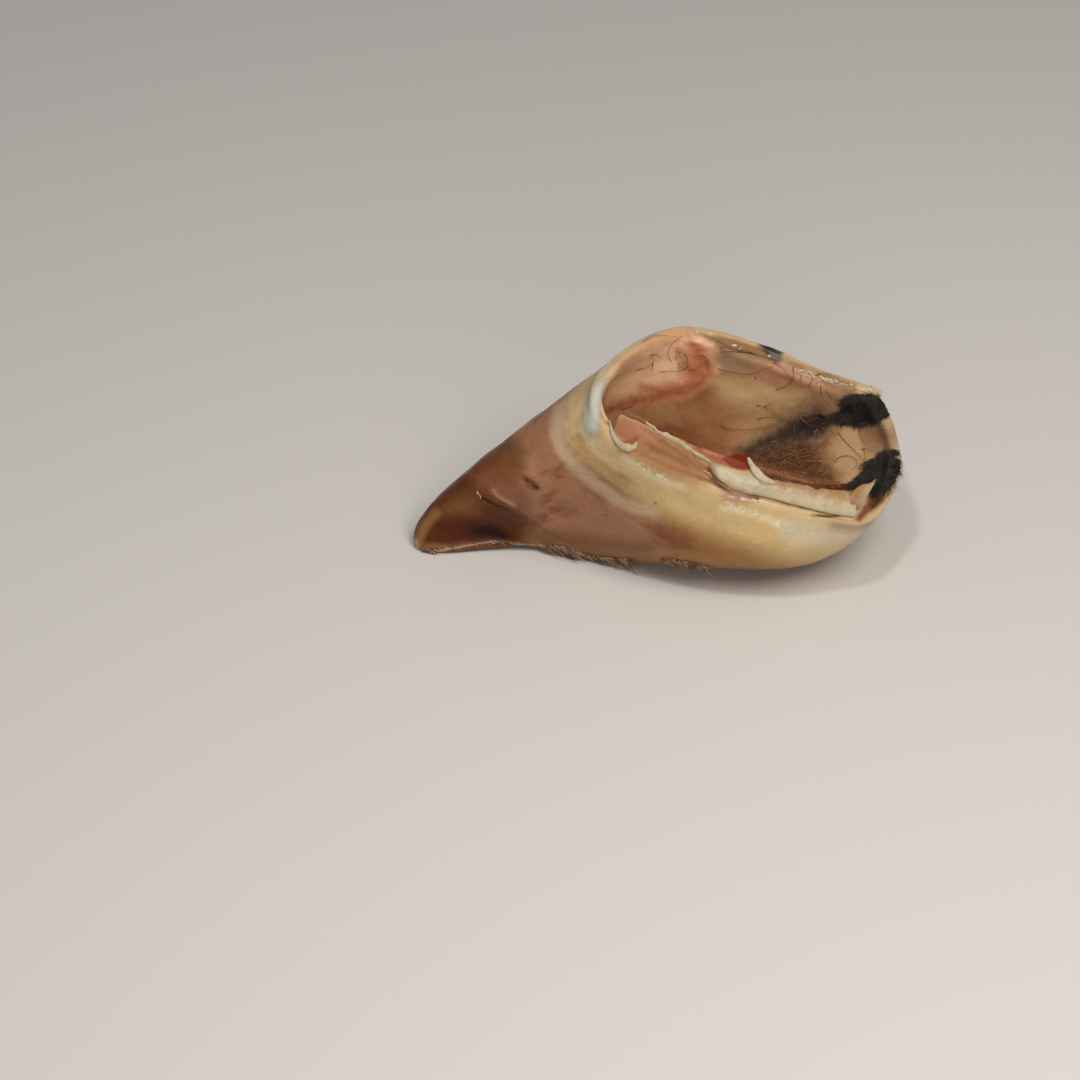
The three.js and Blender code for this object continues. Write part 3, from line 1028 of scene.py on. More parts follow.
# Hollows and ridges of the skin: (side, depth in mm, half width and fade in pixels, view, points)
RELIEFS = [
    ("rim", 0.3, 4.0, 7.0, OPENING, [(128, 345), (104, 400), (94, 450), (94, 510), (112, 555)]),
    ("rim", -0.3, 1.5, 4.0, OPENING, [(300, 520), (350, 560), (400, 600)]),
    ("rim", -0.7, 0.8, 2.0, OPENING, [(560, 670), (590, 705), (625, 742), (660, 775)]),
    ("out", -1.3, 0.6, 1.6, TOE, [(470, 575), (500, 602), (560, 632), (640, 660)]),
    ("out", -0.5, 0.6, 2.5, TOE, [(640, 660), (700, 690), (770, 722), (900, 800), (1000, 855)]),
    ("out", 0.5, 1.5, 3.0, TOE, [(560, 540), (600, 580), (650, 605), (690, 628)]),
    ("out", -0.8, 1.0, 2.0, TOE, [(745, 472), (780, 500), (830, 538)]),
    ("out", -0.9, 4.0, 6.0, TOE, [(480, 790), (540, 795), (620, 830)]),
    ("any", -0.7, 0.5, 1.6, OPENING, [(620, 120), (700, 155), (745, 184), (830, 196), (862, 210),
                                      (950, 236)]),
    ("any", 0.5, 1.0, 2.5, OPENING, [(640, 105), (720, 140), (770, 165), (850, 182), (900, 205)]),
]


def side_share(side, ring):
    """How far vertices belong to a side of the skin, by their ring."""
    inner = smooth((LAST_INNER_RING + 1 - ring) / 2)
    outer = smooth((ring - WALL_TOP_RING + 4) / 4)
    return {"in": inner, "out": outer, "rim": 1 - inner, "any": np.ones_like(ring)}[side]


def seen_share(piece, starts, to_eye):
    """How far a piece's vertices can be seen from the camera, with a soft border."""
    bpy.context.view_layer.update()
    tree = BVHTree.FromObject(piece, bpy.context.evaluated_depsgraph_get())
    hits = (tree.ray_cast(Vector(start), Vector(way))[0] for start, way in zip(starts, to_eye))
    seen = np.array([float(hit is None) for hit in hits])
    edges = np.empty(len(piece.data.edges) * 2, np.int32)
    piece.data.edges.foreach_get("vertices", edges)
    one, other = edges.reshape(-1, 2).T
    for _ in range(SEEN_GROWTH):
        grown = seen.copy()
        np.maximum.at(grown, one, seen[other])
        np.maximum.at(grown, other, seen[one])
        seen = grown
    beside = np.ones(len(seen))
    np.add.at(beside, one, 1)
    np.add.at(beside, other, 1)
    for _ in range(SEEN_BLUR):
        total = seen.copy()
        np.add.at(total, one, seen[other])
        np.add.at(total, other, seen[one])
        seen = total / beside
    return seen


def soften(bm, verts):
    """Smooths vertices once."""
    axes = {"use_axis_x": True, "use_axis_y": True, "use_axis_z": True}
    bmesh.ops.smooth_vert(bm, verts=verts, factor=0.5, **axes)


def rounded_copy():
    """The solid's copy, refined, with its heel, its lip and the start of its sheet softened."""
    bm, rings = grid_copy()
    heel = [v for number in HEEL_RINGS for v in rings[number - 1] if v.co.x > HEEL_START]
    for _ in range(HEEL_TURNS):
        soften(bm, heel)
    for turn in range(LIP_TURNS):
        edge = LIP_SIDE - turn * LIP_STEP
        soften(bm, [v for number in LIP_RINGS for v in rings[number - 1] if v.co.y < edge])
    sheet = [v for number in SHEET_RINGS for v in rings[number - 1]]
    gaps = np.linalg.norm(to_photo(np.array([v.co for v in sheet])) - SHEET_START, axis=1)
    for _ in range(SHEET_TURNS):
        soften(bm, [v for v, gap in zip(sheet, gaps) if gap < SHEET_START_REACH])
    mesh = bpy.data.meshes.new("hoof_skin")
    bm.to_mesh(mesh)
    bm.free()
    piece = add_object("hoof_skin", mesh)
    rounding = piece.modifiers.new("rounding", "SUBSURF")
    rounding.levels = rounding.render_levels = SKIN_LEVELS
    return settle(piece)


def relief_of(look, points, pixels, ring, facing):
    """How far each vertex of the skin moves out along its normal."""
    moved = np.zeros(len(points))
    for side, depth, core, fade, view, path in RELIEFS:
        field = smooth(stroke_field(pixels, view, path, core, fade))
        moved += depth * MM * field * facing * side_share(side, ring)
    outer = side_share("out", ring)
    inner = side_share("in", ring)
    rim = np.clip(1 - inner - outer, 0, 1)
    lumps = LUMP_SHARE * grain_field(points, LUMP_SIZE, LUMP_SEED)
    lumps = lumps + RIPPLE_SHARE * grain_field(points, RIPPLE_SIZE, RIPPLE_SEED)
    return moved + look.unevenness * lumps * (WALL_LUMPS * outer + inner + RIM_LUMPS * rim)


def set_places(mesh, points, ring, facing):
    """Where each vertex lies: side, height on the wall, toe or bulb of the far side, grain."""
    wall = np.clip((WALL_FOOT_RING - ring) / (WALL_FOOT_RING - WALL_TOP_RING), 0, 1)
    outer = side_share("out", ring)
    set_values(mesh, "wall_height", wall)
    set_values(mesh, "outside", outer)
    set_values(mesh, "inside", side_share("in", ring))
    hidden = outer * (1 - facing)
    for name, (start, end) in (("far_toe", FAR_TOE), ("far_bulb", FAR_BULB)):
        set_values(mesh, name, hidden * smooth((points[:, 0] - start) / (end - start)))
    turn = np.stack([values_of(mesh, "turn_x"), values_of(mesh, "turn_y")], 1)
    horn_place = np.column_stack([turn * HORN_RADIUS, wall * HORN_HEIGHT])
    attribute = mesh.attributes.new("horn_place", "FLOAT_VECTOR", "POINT")
    attribute.data.foreach_set("vector", horn_place.astype(np.float32).ravel())


def set_stains_and_light(mesh, pixels, ring, facing):
    """How strong each stain and each patch of painted shade and highlight is at each vertex, and how
    wet the skin is there.
    """
    for name, (side, _, fade, _, _, shapes) in STAINS_AND_PAINTED_LIGHT.items():
        field = np.zeros(len(pixels))
        for view, core, path in shapes:
            if core is None:
                one = area_field(pixels, view, path, fade)
            else:
                one = stroke_field(pixels, view, path, core, fade)
            field = np.maximum(field, one)
        set_values(mesh, name, field * facing * side_share(side, ring))
    wet = np.zeros(len(pixels))
    for view, core, path in WET_PLACES:
        wet = np.maximum(wet, stroke_field(pixels, view, path, core, core))
    set_values(mesh, "wet", wet * facing)


def set_lines(mesh, pixels, ring, facing):
    """The gap to the nearest fine line of each kind at each vertex, and that line's weight."""
    for kind, (_, lines) in LINES.items():
        gap = np.full(len(pixels), FAR_GAP)
        weight = np.zeros(len(pixels))
        for side, heaviness, view, path in lines:
            one, along = signed_gap(pixels, on_photo(view, path))
            near = smooth((2 * LINE_REACH - np.abs(one)) / LINE_REACH)
            taper = smooth(np.minimum(along, 1 - along) / LINE_TAPER)
            nearer = np.abs(one) < np.abs(gap)
            gap = np.where(nearer, one, gap)
            weight = np.where(nearer, heaviness * near * taper * side_share(side, ring), weight)
        set_values(mesh, kind + "_gap", gap)
        set_values(mesh, kind + "_weight", weight * facing)


def make_skin(look):
    """The horn and its lining: the solid's copy, refined, with its stains and its painted shade and
    highlights as attributes.
    """
    piece = rounded_copy()
    mesh = piece.data
    points = coordinates(mesh)
    normals = vertex_normals(mesh)
    ring = values_of(mesh, "ring")
    pixels = to_photo(points)
    to_eye = EYE - points
    to_eye /= np.linalg.norm(to_eye, axis=1)[:, None]
    facing = smooth((np.einsum("ij,ij->i", normals, to_eye) - FACING_END) / FACING_RANGE)
    starts = points + (normals * SIGHT_LIFT + to_eye * SIGHT_AHEAD) * MM
    facing *= seen_share(piece, starts, to_eye)

    moved = relief_of(look, points, pixels, ring, facing)
    points = points + normals * moved[:, None]
    points[:, 2] = np.maximum(points[:, 2], 0)
    set_coordinates(mesh, points)
    set_places(mesh, points, ring, facing)
    set_stains_and_light(mesh, pixels, ring, facing)
    set_lines(mesh, pixels, ring, facing)
    mesh.materials.append(skin_material(look))
    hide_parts(SOLID)
    return finish_piece(piece)


# Further colours of the skin, as they look on screen, how ragged the far side's are, and where
# the foot's and the rim's colours end on the wall's height
LINING_CLOUD = (160, 108, 72)
HORN_STREAK = (124, 76, 48)
# GLINT is the colour of the painted glints on the wet film
GLINT = (238, 230, 200)
FAR_TONES = {"far_toe": (90, 44, 20), "far_bulb": (178, 144, 96)}
FAR_RAGGED = 0.8
FOOT_BAND = (0.0, 0.3)
RIM_BAND = (0.78, 0.92)
# Stains that are matt, and those that are only out of the film of moisture
MATT_STAINS = ("hairy_brown", "fur_bed", "smudge")
DRY_STAINS = ("toe_brown", "blood", "basin_tan", "sheet_flesh")
ROLL_DRYNESS = 0.7


def patched(tree, colour, tone, name, grain, ragged, softness=0.5):
    """A colour under one patch, whose strength is in the attribute of that name; stains and painted
    shade and highlights are laid alike.
    """
    layer = use_group(
        tree,
        shared_group(stain_and_light_group),
        Colour=colour,
        Stain=linear(tone),
        Field=attribute_value(tree, name),
        Grain=grain,
        Ragged=ragged,
        Softness=softness,
    )
    return layer.outputs["Colour"]


def plain_horn(tree, look, place, horn_place, grain):
    """The skin's colour before its stains and its painted shade and highlights: lining, rim and
    streaked wall.
    """
    rim = linear(look.rim * 255)
    clouds = ramp_up(tree, noise_value(tree, place, LINING_SCALE, 3, 0.6, 0.5), 0.35, 0.7)
    lining = mix_colours(tree, clouds, linear(look.lining * 255), linear(LINING_CLOUD))
    colour = mix_colours(tree, attribute_value(tree, "inside"), rim, lining)
    wobble = maths(tree, "MULTIPLY", maths(tree, "SUBTRACT", grain, 0.5), 0.1)
    band = maths(tree, "ADD", attribute_value(tree, "wall_height"), wobble)
    rise = ramp_up(tree, band, *FOOT_BAND)
    wall = mix_colours(tree, rise, linear(look.foot * 255), linear(look.wall * 255))
    for name, tone in FAR_TONES.items():
        wall = patched(tree, wall, tone, name, grain, FAR_RAGGED)
    streaks = ramp_up(tree, noise_value(tree, horn_place, STREAK_SCALE, 4, 0.6, 0.4), 0.5, 0.72)
    wall = mix_colours(tree, streaks, wall, linear(HORN_STREAK))
    wall = mix_colours(tree, ramp_up(tree, band, *RIM_BAND), wall, rim)
    return mix_colours(tree, attribute_value(tree, "outside"), colour, wall)


def skin_material(look):
    material, tree, shader = new_material("wet_horn")
    place = object_place(tree)
    horn_place = attribute_value(tree, "horn_place", "Vector")
    grain = noise_value(tree, place, GRAIN_SCALE, 4, 0.6)

    colour = plain_horn(tree, look, place, horn_place, grain)
    # Stains, and patches of painted shade and painted highlights, one over the other
    for name, (_, tone, _, ragged, softness, _) in STAINS_AND_PAINTED_LIGHT.items():
        colour = patched(tree, colour, tone, name, grain, ragged, softness)
    marks = {}
    for kind, (tone, _) in LINES.items():
        line = use_group(
            tree,
            shared_group(line_group),
            Colour=colour,
            Line=linear(tone),
            Gap=attribute_value(tree, kind + "_gap"),
            Weight=attribute_value(tree, kind + "_weight"),
            Place=place,
        )
        colour = line.outputs["Colour"]
        marks[kind] = line.outputs["Mask"]

    smooth_horn = maths(tree, "MULTIPLY", attribute_value(tree, "bulb_yellow"), 0.7)
    shade = maths(tree, "SUBTRACT", 0.8, smooth_horn)
    shade = maths(tree, "MULTIPLY", attribute_value(tree, "outside"), shade)
    growth = shared_group(growth_group)
    rings = use_group(tree, growth, Colour=colour, Place=horn_place, Shade=shade)
    mottle = use_group(
        tree,
        shared_group(mottle_group),
        Colour=rings.outputs["Colour"],
        Place=place,
        Clouds=0.35,
        Specks=0.3,
    )
    # Painted glints: where the film is thick and beads, its highlight is painted into the colour
    beads = ramp_up(tree, noise_value(tree, place, BEAD_SCALE, 5, 0.7), 0.46, 0.62)
    wet = maths(tree, "MULTIPLY", attribute_value(tree, "wet"), beads)
    glint = maths(tree, "MULTIPLY", wet, 0.7)
    glints = mix_colours(tree, glint, mottle.outputs["Colour"], linear(GLINT))
    tree.links.new(glints, shader.inputs["Base Color"])

    damp = ramp_up(tree, noise_value(tree, place, DAMP_SCALE, 3), 0.35, 0.7)
    matt = highest(tree, *(attribute_value(tree, name) for name in MATT_STAINS))
    roughness = maths(tree, "ADD", maths(tree, "MULTIPLY", damp, 0.2), 0.32)
    roughness = maths(tree, "ADD", roughness, maths(tree, "MULTIPLY", matt, 0.35), clamp=True)
    tree.links.new(roughness, shader.inputs["Roughness"])

    roll = maths(tree, "MULTIPLY", attribute_value(tree, "roll_white"), ROLL_DRYNESS)
    dry = highest(tree, matt, *(attribute_value(tree, name) for name in DRY_STAINS), roll)
    film = maths(tree, "ADD", maths(tree, "MULTIPLY", damp, -0.3), 0.42)
    film = maths(tree, "MULTIPLY", maths(tree, "SUBTRACT", 1.0, dry, clamp=True), film)
    film = maths(tree, "ADD", film, wet, clamp=True)
    relief = weighted_sum(
        tree,
        (rings.outputs["Height"], shade),
        (mottle.outputs["Height"], 1.0),
        (marks["dark"], -1.5),
        (marks["pale"], 0.6),
        (wet, 0.4),
    )
    add_bump(tree, shader, relief, 0.35 * MM, 0.7)
    moisten(shader, 0.1, 2 * MM, 0.5)
    tree.links.new(film, shader.inputs["Coat Weight"])
    return material


# Torn strip, curl and crumbs


def along_line(points, count):
    """Evenly spaced points along a line through points."""
    points = np.array(points, float)
    lengths = np.linalg.norm(np.diff(points, axis=0), axis=1)
    marks = np.concatenate([[0], np.cumsum(lengths)])
    wanted = np.linspace(0, marks[-1], count)
    return np.column_stack([np.interp(wanted, marks, points[:, i]) for i in range(points.shape[1])])


# Leaves: the start of one that comes from behind the sheet is sunk, flatter and darkened with painted
# shade over these shares of its length. Ripples and a torn upper edge make it uneven.
SUNK_SHARE = 0.22
SUNK_DEPTH = 1.6 * MM
SUNK_FLATNESS = 0.8
SHADED_SHARE = 0.3
CROWN_POWER = 0.8
BROAD_RIPPLE = 0.45 * MM
FINE_RIPPLE = 0.2 * MM
TORN_EDGE = 0.5 * MM
LEAF_LEVELS = 2


def leaf(name, low_edge, high_edge, rows, bulge, thickness, tan_and_shade, material, seed):
    """A thin soft leaf between two lines of points: crowned, rippled, with thick rounded edges."""
    count = len(low_edge)
    bm = bmesh.new()
    bmesh.ops.create_grid(bm, x_segments=count - 1, y_segments=rows - 1, size=0.5)
    tone = bm.verts.layers.float.new("tan_and_shade")
    centre = (low_edge + high_edge) / 2
    low_tan, high_tan, start_shade = tan_and_shade
    for vert in bm.verts:
        s, t = vert.co.x + 0.5, vert.co.y + 0.5
        # Painted shade darkens the start of a leaf that comes from behind the sheet
        shaded = max(0, 1 - s / SHADED_SHARE)
        vert[tone] = low_tan + (high_tan - low_tan) * t + start_shade * shaded
        station = min(count - 1, round(s * (count - 1)))
        low, high = low_edge[station], high_edge[station]
        run = centre[min(station + 1, count - 1)] - centre[max(station - 1, 0)]
        rise = high - low
        out = np.cross(run, rise)
        if np.linalg.norm(out) < 1e-12:
            out = -FORWARD
        out = out / np.linalg.norm(out)
        if out @ FORWARD > 0:
            out = -out
        sunk = 1 - smooth(s / SUNK_SHARE) if start_shade else 0
        place = low + rise * t + FORWARD * sunk * SUNK_DEPTH
        crown = bulge * (1 - SUNK_FLATNESS * sunk)
        crown *= math.sin(math.pi * min(max(t, 0), 1)) ** CROWN_POWER
        ripple = noise.noise(Vector((s * 9 + seed, t * 2.5, seed))) * BROAD_RIPPLE
        ripple += noise.noise(Vector((s * count * 0.5 + seed, t * 5, seed))) * FINE_RIPPLE
        fray = noise.noise(Vector((s * count * 0.8, seed, 0))) * TORN_EDGE if t > 0.99 else 0
        vert.co = place + out * (crown + ripple) + UP * fray
    mesh = bpy.data.meshes.new(name)
    bm.to_mesh(mesh)
    bm.free()
    piece = add_object(name, mesh, material)
    wall = piece.modifiers.new("thickness", "SOLIDIFY")
    wall.thickness = thickness
    wall.offset = 0
    rounding = piece.modifiers.new("rounding", "SUBSURF")
    rounding.levels = rounding.render_levels = LEAF_LEVELS
    return settle(piece)


def edge_on_ring(points, ring, count):
    """Points of the frame for a line of the opening's enlargement that runs along a ring."""
    pixels = on_photo(OPENING, along_line(points, count))
    return np.array([nearest_on_sight(pixel, ring) for pixel in pixels])


# Torn leaves: lower and upper edge on the opening's enlargement, stations and rows, crown and
# thickness in mm, how tan the lower edge and the upper edge are, and how much painted shade darkens the
# start
LEAVES = [
    (
        "inner_leaf",
        [(606, 690), (640, 716), (660, 752), (690, 786), (740, 822), (800, 845), (860, 852),
         (932, 812)],
        [(602, 684), (634, 694), (668, 706), (705, 718), (750, 733), (800, 748), (860, 768),
         (925, 800)],
        34, 7, 1.2, 0.9, (0.45, 0.15, 0.7),
    ),
    (
        "outer_leaf",
        [(820, 842), (880, 855), (940, 870), (1000, 889), (1070, 908), (1150, 928), (1230, 942),
         (1304, 952)],
        [(868, 778), (920, 784), (980, 788), (1050, 799), (1130, 815), (1210, 826), (1260, 832),
         (1296, 838)],
        36, 7, 1.3, 1.2, (0.0, 1.0, 0.0),
    ),
]
# The thin pale edge of the sheet at its toe end, which lies on the skin
SHEET_EDGE = (
    [(352, 530), (390, 562), (430, 586), (480, 612), (545, 654), (600, 690), (646, 716)],
    [(346, 512), (384, 530), (402, 548), (470, 582), (545, 630), (600, 662), (648, 692)],
)
SHEET_EDGE_STATIONS = 34
SHEET_EDGE_LIFTS = (-0.15 * MM, 0.5 * MM)
SPIKE = (
    [(813, 677), (818, 704), (830, 738), (850, 768), (890, 796), (935, 812)],
    [(816, 675), (834, 696), (856, 722), (886, 750), (925, 780), (965, 800)],
)
TAB = (
    [(1292, 948), (1286, 905), (1284, 868), (1292, 836), (1322, 808), (1346, 798), (1370, 803),
     (1401, 778)],
    [(1314, 952), (1326, 926), (1338, 902), (1350, 878), (1364, 852), (1378, 826), (1390, 802),
     (1403, 777)],
)
# How far these two stand in front of the sheet at their roots and at their tips, in mm
SPIKE_ROOT = 1.4
TAB_ROOT = 3.0
BLADE_TIP = 0.8
BLADE_STATIONS = 14
# The curl, its radii in mm, and the lumps on it
CURL = [(181, 508), (187, 545), (203, 588), (232, 620), (268, 638), (294, 630), (307, 607)]
CURL_RADII = [0.3, 0.5, 0.7, 0.95, 1.3, 0.85, 0.2]
CURL_RIPPLE_SIZE = 1.6 * MM
CURL_RIPPLE = 0.25 * MM
# Colours of the strip where it is tan, veined and blotted, and of its painted shade
STRIP_TAN = (154, 116, 76)
STRIP_VEIN = (138, 96, 60)
STRIP_BLOT = (166, 128, 80)
STRIP_SHADE = (104, 74, 50)


def strip_material(look):
    material, tree, shader = new_material("torn_membrane")
    place = object_place(tree)
    grain = noise_value(tree, place, GRAIN_SCALE, 4, 0.6)
    uneven = maths(tree, "MULTIPLY", maths(tree, "SUBTRACT", grain, 0.5), 0.8)
    tan_and_shade = maths(tree, "ADD", attribute_value(tree, "tan_and_shade"), uneven)
    tanned = ramp_up(tree, tan_and_shade, 0.2, 1.0)
    colour = mix_colours(tree, tanned, linear(look.membrane * 255), linear(STRIP_TAN))
    colour = mix_colours(tree, ramp_up(tree, grain, 0.6, 0.78), colour, linear(STRIP_VEIN))
    blots = ramp_up(tree, noise_value(tree, place, BLOT_SCALE, 3, 0.6), 0.52, 0.7)
    blots = maths(tree, "MULTIPLY", blots, 0.55)
    colour = mix_colours(tree, blots, colour, linear(STRIP_BLOT))
    # Painted shade, mostly at the start of a leaf that comes from behind the sheet
    colour = mix_colours(tree, ramp_up(tree, tan_and_shade, 1.1, 2.0), colour, linear(STRIP_SHADE))
    mottled = shared_group(mottle_group)
    mottle = use_group(tree, mottled, Colour=colour, Place=place, Clouds=0.25, Specks=0.2)
    tree.links.new(mottle.outputs["Colour"], shader.inputs["Base Color"])
    shader.inputs["Roughness"].default_value = 0.35
    add_bump(tree, shader, mottle.outputs["Height"], 0.3 * MM, 0.6)
    moisten(shader, 0.2, 2 * MM, 0.25)
    return material


def make_torn_strip(look):
    """The thick pale leaves torn loose along the inner side, with their spike and their tab."""
    crest, groove = ring_line(SHEET_RING), ring_line(GROOVE_RING)
    skin = Skin()
    material = strip_material(look)
    pieces = []
    for seed, (name, low, high, count, rows, bulge, thickness, tan_and_shade) in enumerate(LEAVES, 2):
        low, high = edge_on_ring(low, groove, count), edge_on_ring(high, crest, count)
        bulge, thickness = bulge * MM, thickness * MM
        pieces.append(leaf(name, low, high, rows, bulge, thickness, tan_and_shade, material, seed + 0.5))
    low, high = (
        skin.beside_ridge(OPENING, along_line(line, SHEET_EDGE_STATIONS), crest, lift)
        for line, lift in zip(SHEET_EDGE, SHEET_EDGE_LIFTS)
    )
    tan_and_shade = (0.9, 0.4, 0)
    pieces.append(leaf("sheet_edge", low, high, 4, 0.1 * MM, 0.25 * MM, tan_and_shade, material, 1.5))
    for name, edges, root, tan_and_shade, seed in (
        ("spike", SPIKE, SPIKE_ROOT, (0.3, 0.1, 0), 7.5),
        ("tab", TAB, TAB_ROOT, (1.1, 0.4, 0), 9.5),
    ):
        toward = -FORWARD * np.linspace(root, BLADE_TIP, BLADE_STATIONS)[:, None] * MM
        low, high = (edge_on_ring(line, crest, BLADE_STATIONS) + toward for line in edges)
        pieces.append(leaf(name, low, high, 5, 0.4 * MM, 0.8 * MM, tan_and_shade, material, seed))
    return finish_piece(join("torn_strip", pieces))


# Cream crumbs of rind along the far rim, on the opening's enlargement, and a darker flap
CRUMB_LINE = [(560, 98), (640, 120), (760, 160), (905, 212), (1080, 288), (1130, 308), (1190, 325),
              (1300, 350), (1400, 378)]
# Where along that line the crumbs sit. Their drop below it is in pixels, their size in mm.
CRUMB_SHARES = (0.02, 0.26, 0.42, 0.6, 0.63, 0.66, 0.7, 0.72, 0.74, 0.79, 0.83, 0.87, 0.9, 0.94, 0.97)
CRUMB_DROP = (-1.0, 2.5)
CRUMB_ANGLE = (-1.2, 0.6)
CRUMB_LENGTH = (0.8, 3.6)
CRUMB_WIDTH = (0.4, 1.2)
CRUMB_SEED = 71
CRUMB_STATIONS = 100
FLAP = (
    [(1345, 376), (1378, 388), (1408, 396), (1434, 396)],
    [(1348, 348), (1384, 345), (1410, 350), (1434, 376)],
)


def make_rim_crumbs(look):
    """Small loose crumbs of rind on the far rim, and the flap at their heel end."""
    skin = Skin()
    draw = random.Random(CRUMB_SEED)
    material = strip_material(look)
    line = on_photo(OPENING, along_line(CRUMB_LINE, CRUMB_STATIONS + 1))
    pieces = []
    for number, share in enumerate(CRUMB_SHARES):
        pixel = line[round(share * CRUMB_STATIONS)]
        found = skin.seen_at(pixel + (0, draw.uniform(*CRUMB_DROP)))
        if found is None:
            continue
        place, normal = found
        run = along_skin(draw.uniform(*CRUMB_ANGLE), normal)
        run /= np.linalg.norm(run)
        length = draw.uniform(*CRUMB_LENGTH) * MM
        aside = np.cross(normal, run) * draw.uniform(*CRUMB_WIDTH) * MM / 2
        steps = np.linspace(-0.5, 0.5, 6)[:, None]
        low = place + run * length * steps - aside
        high = place + run * length * steps * 0.7 + aside + normal * 0.5 * MM
        name, tan_and_shade = f"crumb_{number}", (0.4, 0, 0)
        pieces.append(leaf(name, low, high, 4, 0.1 * MM, 0.4 * MM, tan_and_shade, material, number * 3.1))
    rim = ring_line(RIM_RING)
    low, high = (edge_on_ring(points, rim, 8) for points in FLAP)
    tan_and_shade = (0.7, 0.4, 0)
    pieces.append(leaf("flap", low, high, 5, 0.1 * MM, 0.4 * MM, tan_and_shade, material, 5.5))
    return finish_piece(join("rim_crumbs", pieces))


def swept(name, paths, material, resolution=1):
    """Tapered round strands along paths of (points, radii), as one mesh."""
    curve = bpy.data.curves.new(name, "CURVE")
    curve.dimensions = "3D"
    curve.bevel_depth = 1.0
    curve.bevel_resolution = resolution
    curve.use_fill_caps = True
    for points, radii in paths:
        spline = curve.splines.new("POLY")
        spline.points.add(len(points) - 1)
        for knot, point, radius in zip(spline.points, points, radii):
            knot.co = (*point, 1.0)
            knot.radius = radius
    return settle(add_object(name, curve, material))


def flowing(points, steps):
    """A smooth line through points."""
    points = np.array(points, float)
    ends = np.vstack([2 * points[0] - points[1], points, 2 * points[-1] - points[-2]])
    line = []
    for i in range(1, len(ends) - 2):
        a, b, c, d = ends[i - 1 : i + 3]
        for t in np.linspace(0, 1, steps, endpoint=False):
            bent = (2 * a - 5 * b + 4 * c - d) * t**2 + (3 * b - a - 3 * c + d) * t**3
            line.append(0.5 * (2 * b + (c - a) * t + bent))
    line.append(points[-1])
    return np.array(line)


def along_skin(angle, normal):
    """A direction of the view's plane, at an angle, laid into the skin with that normal."""
    run = RIGHT * math.cos(angle) + UP * math.sin(angle)
    return run - normal * (run @ normal)


class Skin:
    """The finished skin, to set other pieces on."""

    def __init__(self):
        depsgraph = bpy.context.evaluated_depsgraph_get()
        self.tree = BVHTree.FromObject(bpy.data.objects["hoof_skin"], depsgraph)

    def seen_at(self, pixel):
        """Point and normal of the skin behind a pixel of the photograph, or None."""
        place, normal, _, _ = self.tree.ray_cast(Vector(EYE), Vector(sight_line(pixel)))
        if place is None:
            return None
        return np.array(place), np.array(normal)

    def path(self, view, points, lift):
        """A line over the skin through points of an enlargement, lifted off it by lift."""
        found = [self.seen_at(p) for p in on_photo(view, points)]
        found = [f for f in found if f is not None]
        lifts = np.broadcast_to(lift, len(found))
        return [place + normal * height for (place, normal), height in zip(found, lifts)]

    def beside_ridge(self, view, points, ridge, lift):
        """The same beside a ridge's line: points that pass over the ridge stay at its line."""
        placed = []
        for pixel, height in zip(on_photo(view, points), np.broadcast_to(lift, len(points))):
            top = nearest_on_sight(pixel, ridge)
            found = self.seen_at(pixel)
            if found is None or (found[0] - top) @ FORWARD > RIDGE_REACH:
                placed.append(top - FORWARD * height)
            else:
                placed.append(found[0] + found[1] * height)
        return np.array(placed)


def make_curl(look):
    """The curled pale edge of the flap at the toe end of the torn strip."""
    skin = Skin()
    radii = np.array(CURL_RADII) * MM
    line = flowing(skin.beside_ridge(OPENING, CURL, ring_line(SHEET_RING), radii * 0.5), 6)
    widths = np.interp(np.linspace(0, 1, len(line)), np.linspace(0, 1, len(radii)), radii)
    piece = swept("curl", [(line, widths)], strip_material(look), resolution=4)
    points = coordinates(piece.data)
    ripple = grain_field(points, CURL_RIPPLE_SIZE, 5.0)[:, None] * CURL_RIPPLE
    set_coordinates(piece.data, points + vertex_normals(piece.data) * ripple)
    set_values(piece.data, "tan_and_shade", np.full(len(points), 0.1))
    return finish_piece(piece)


# Hair and fibres

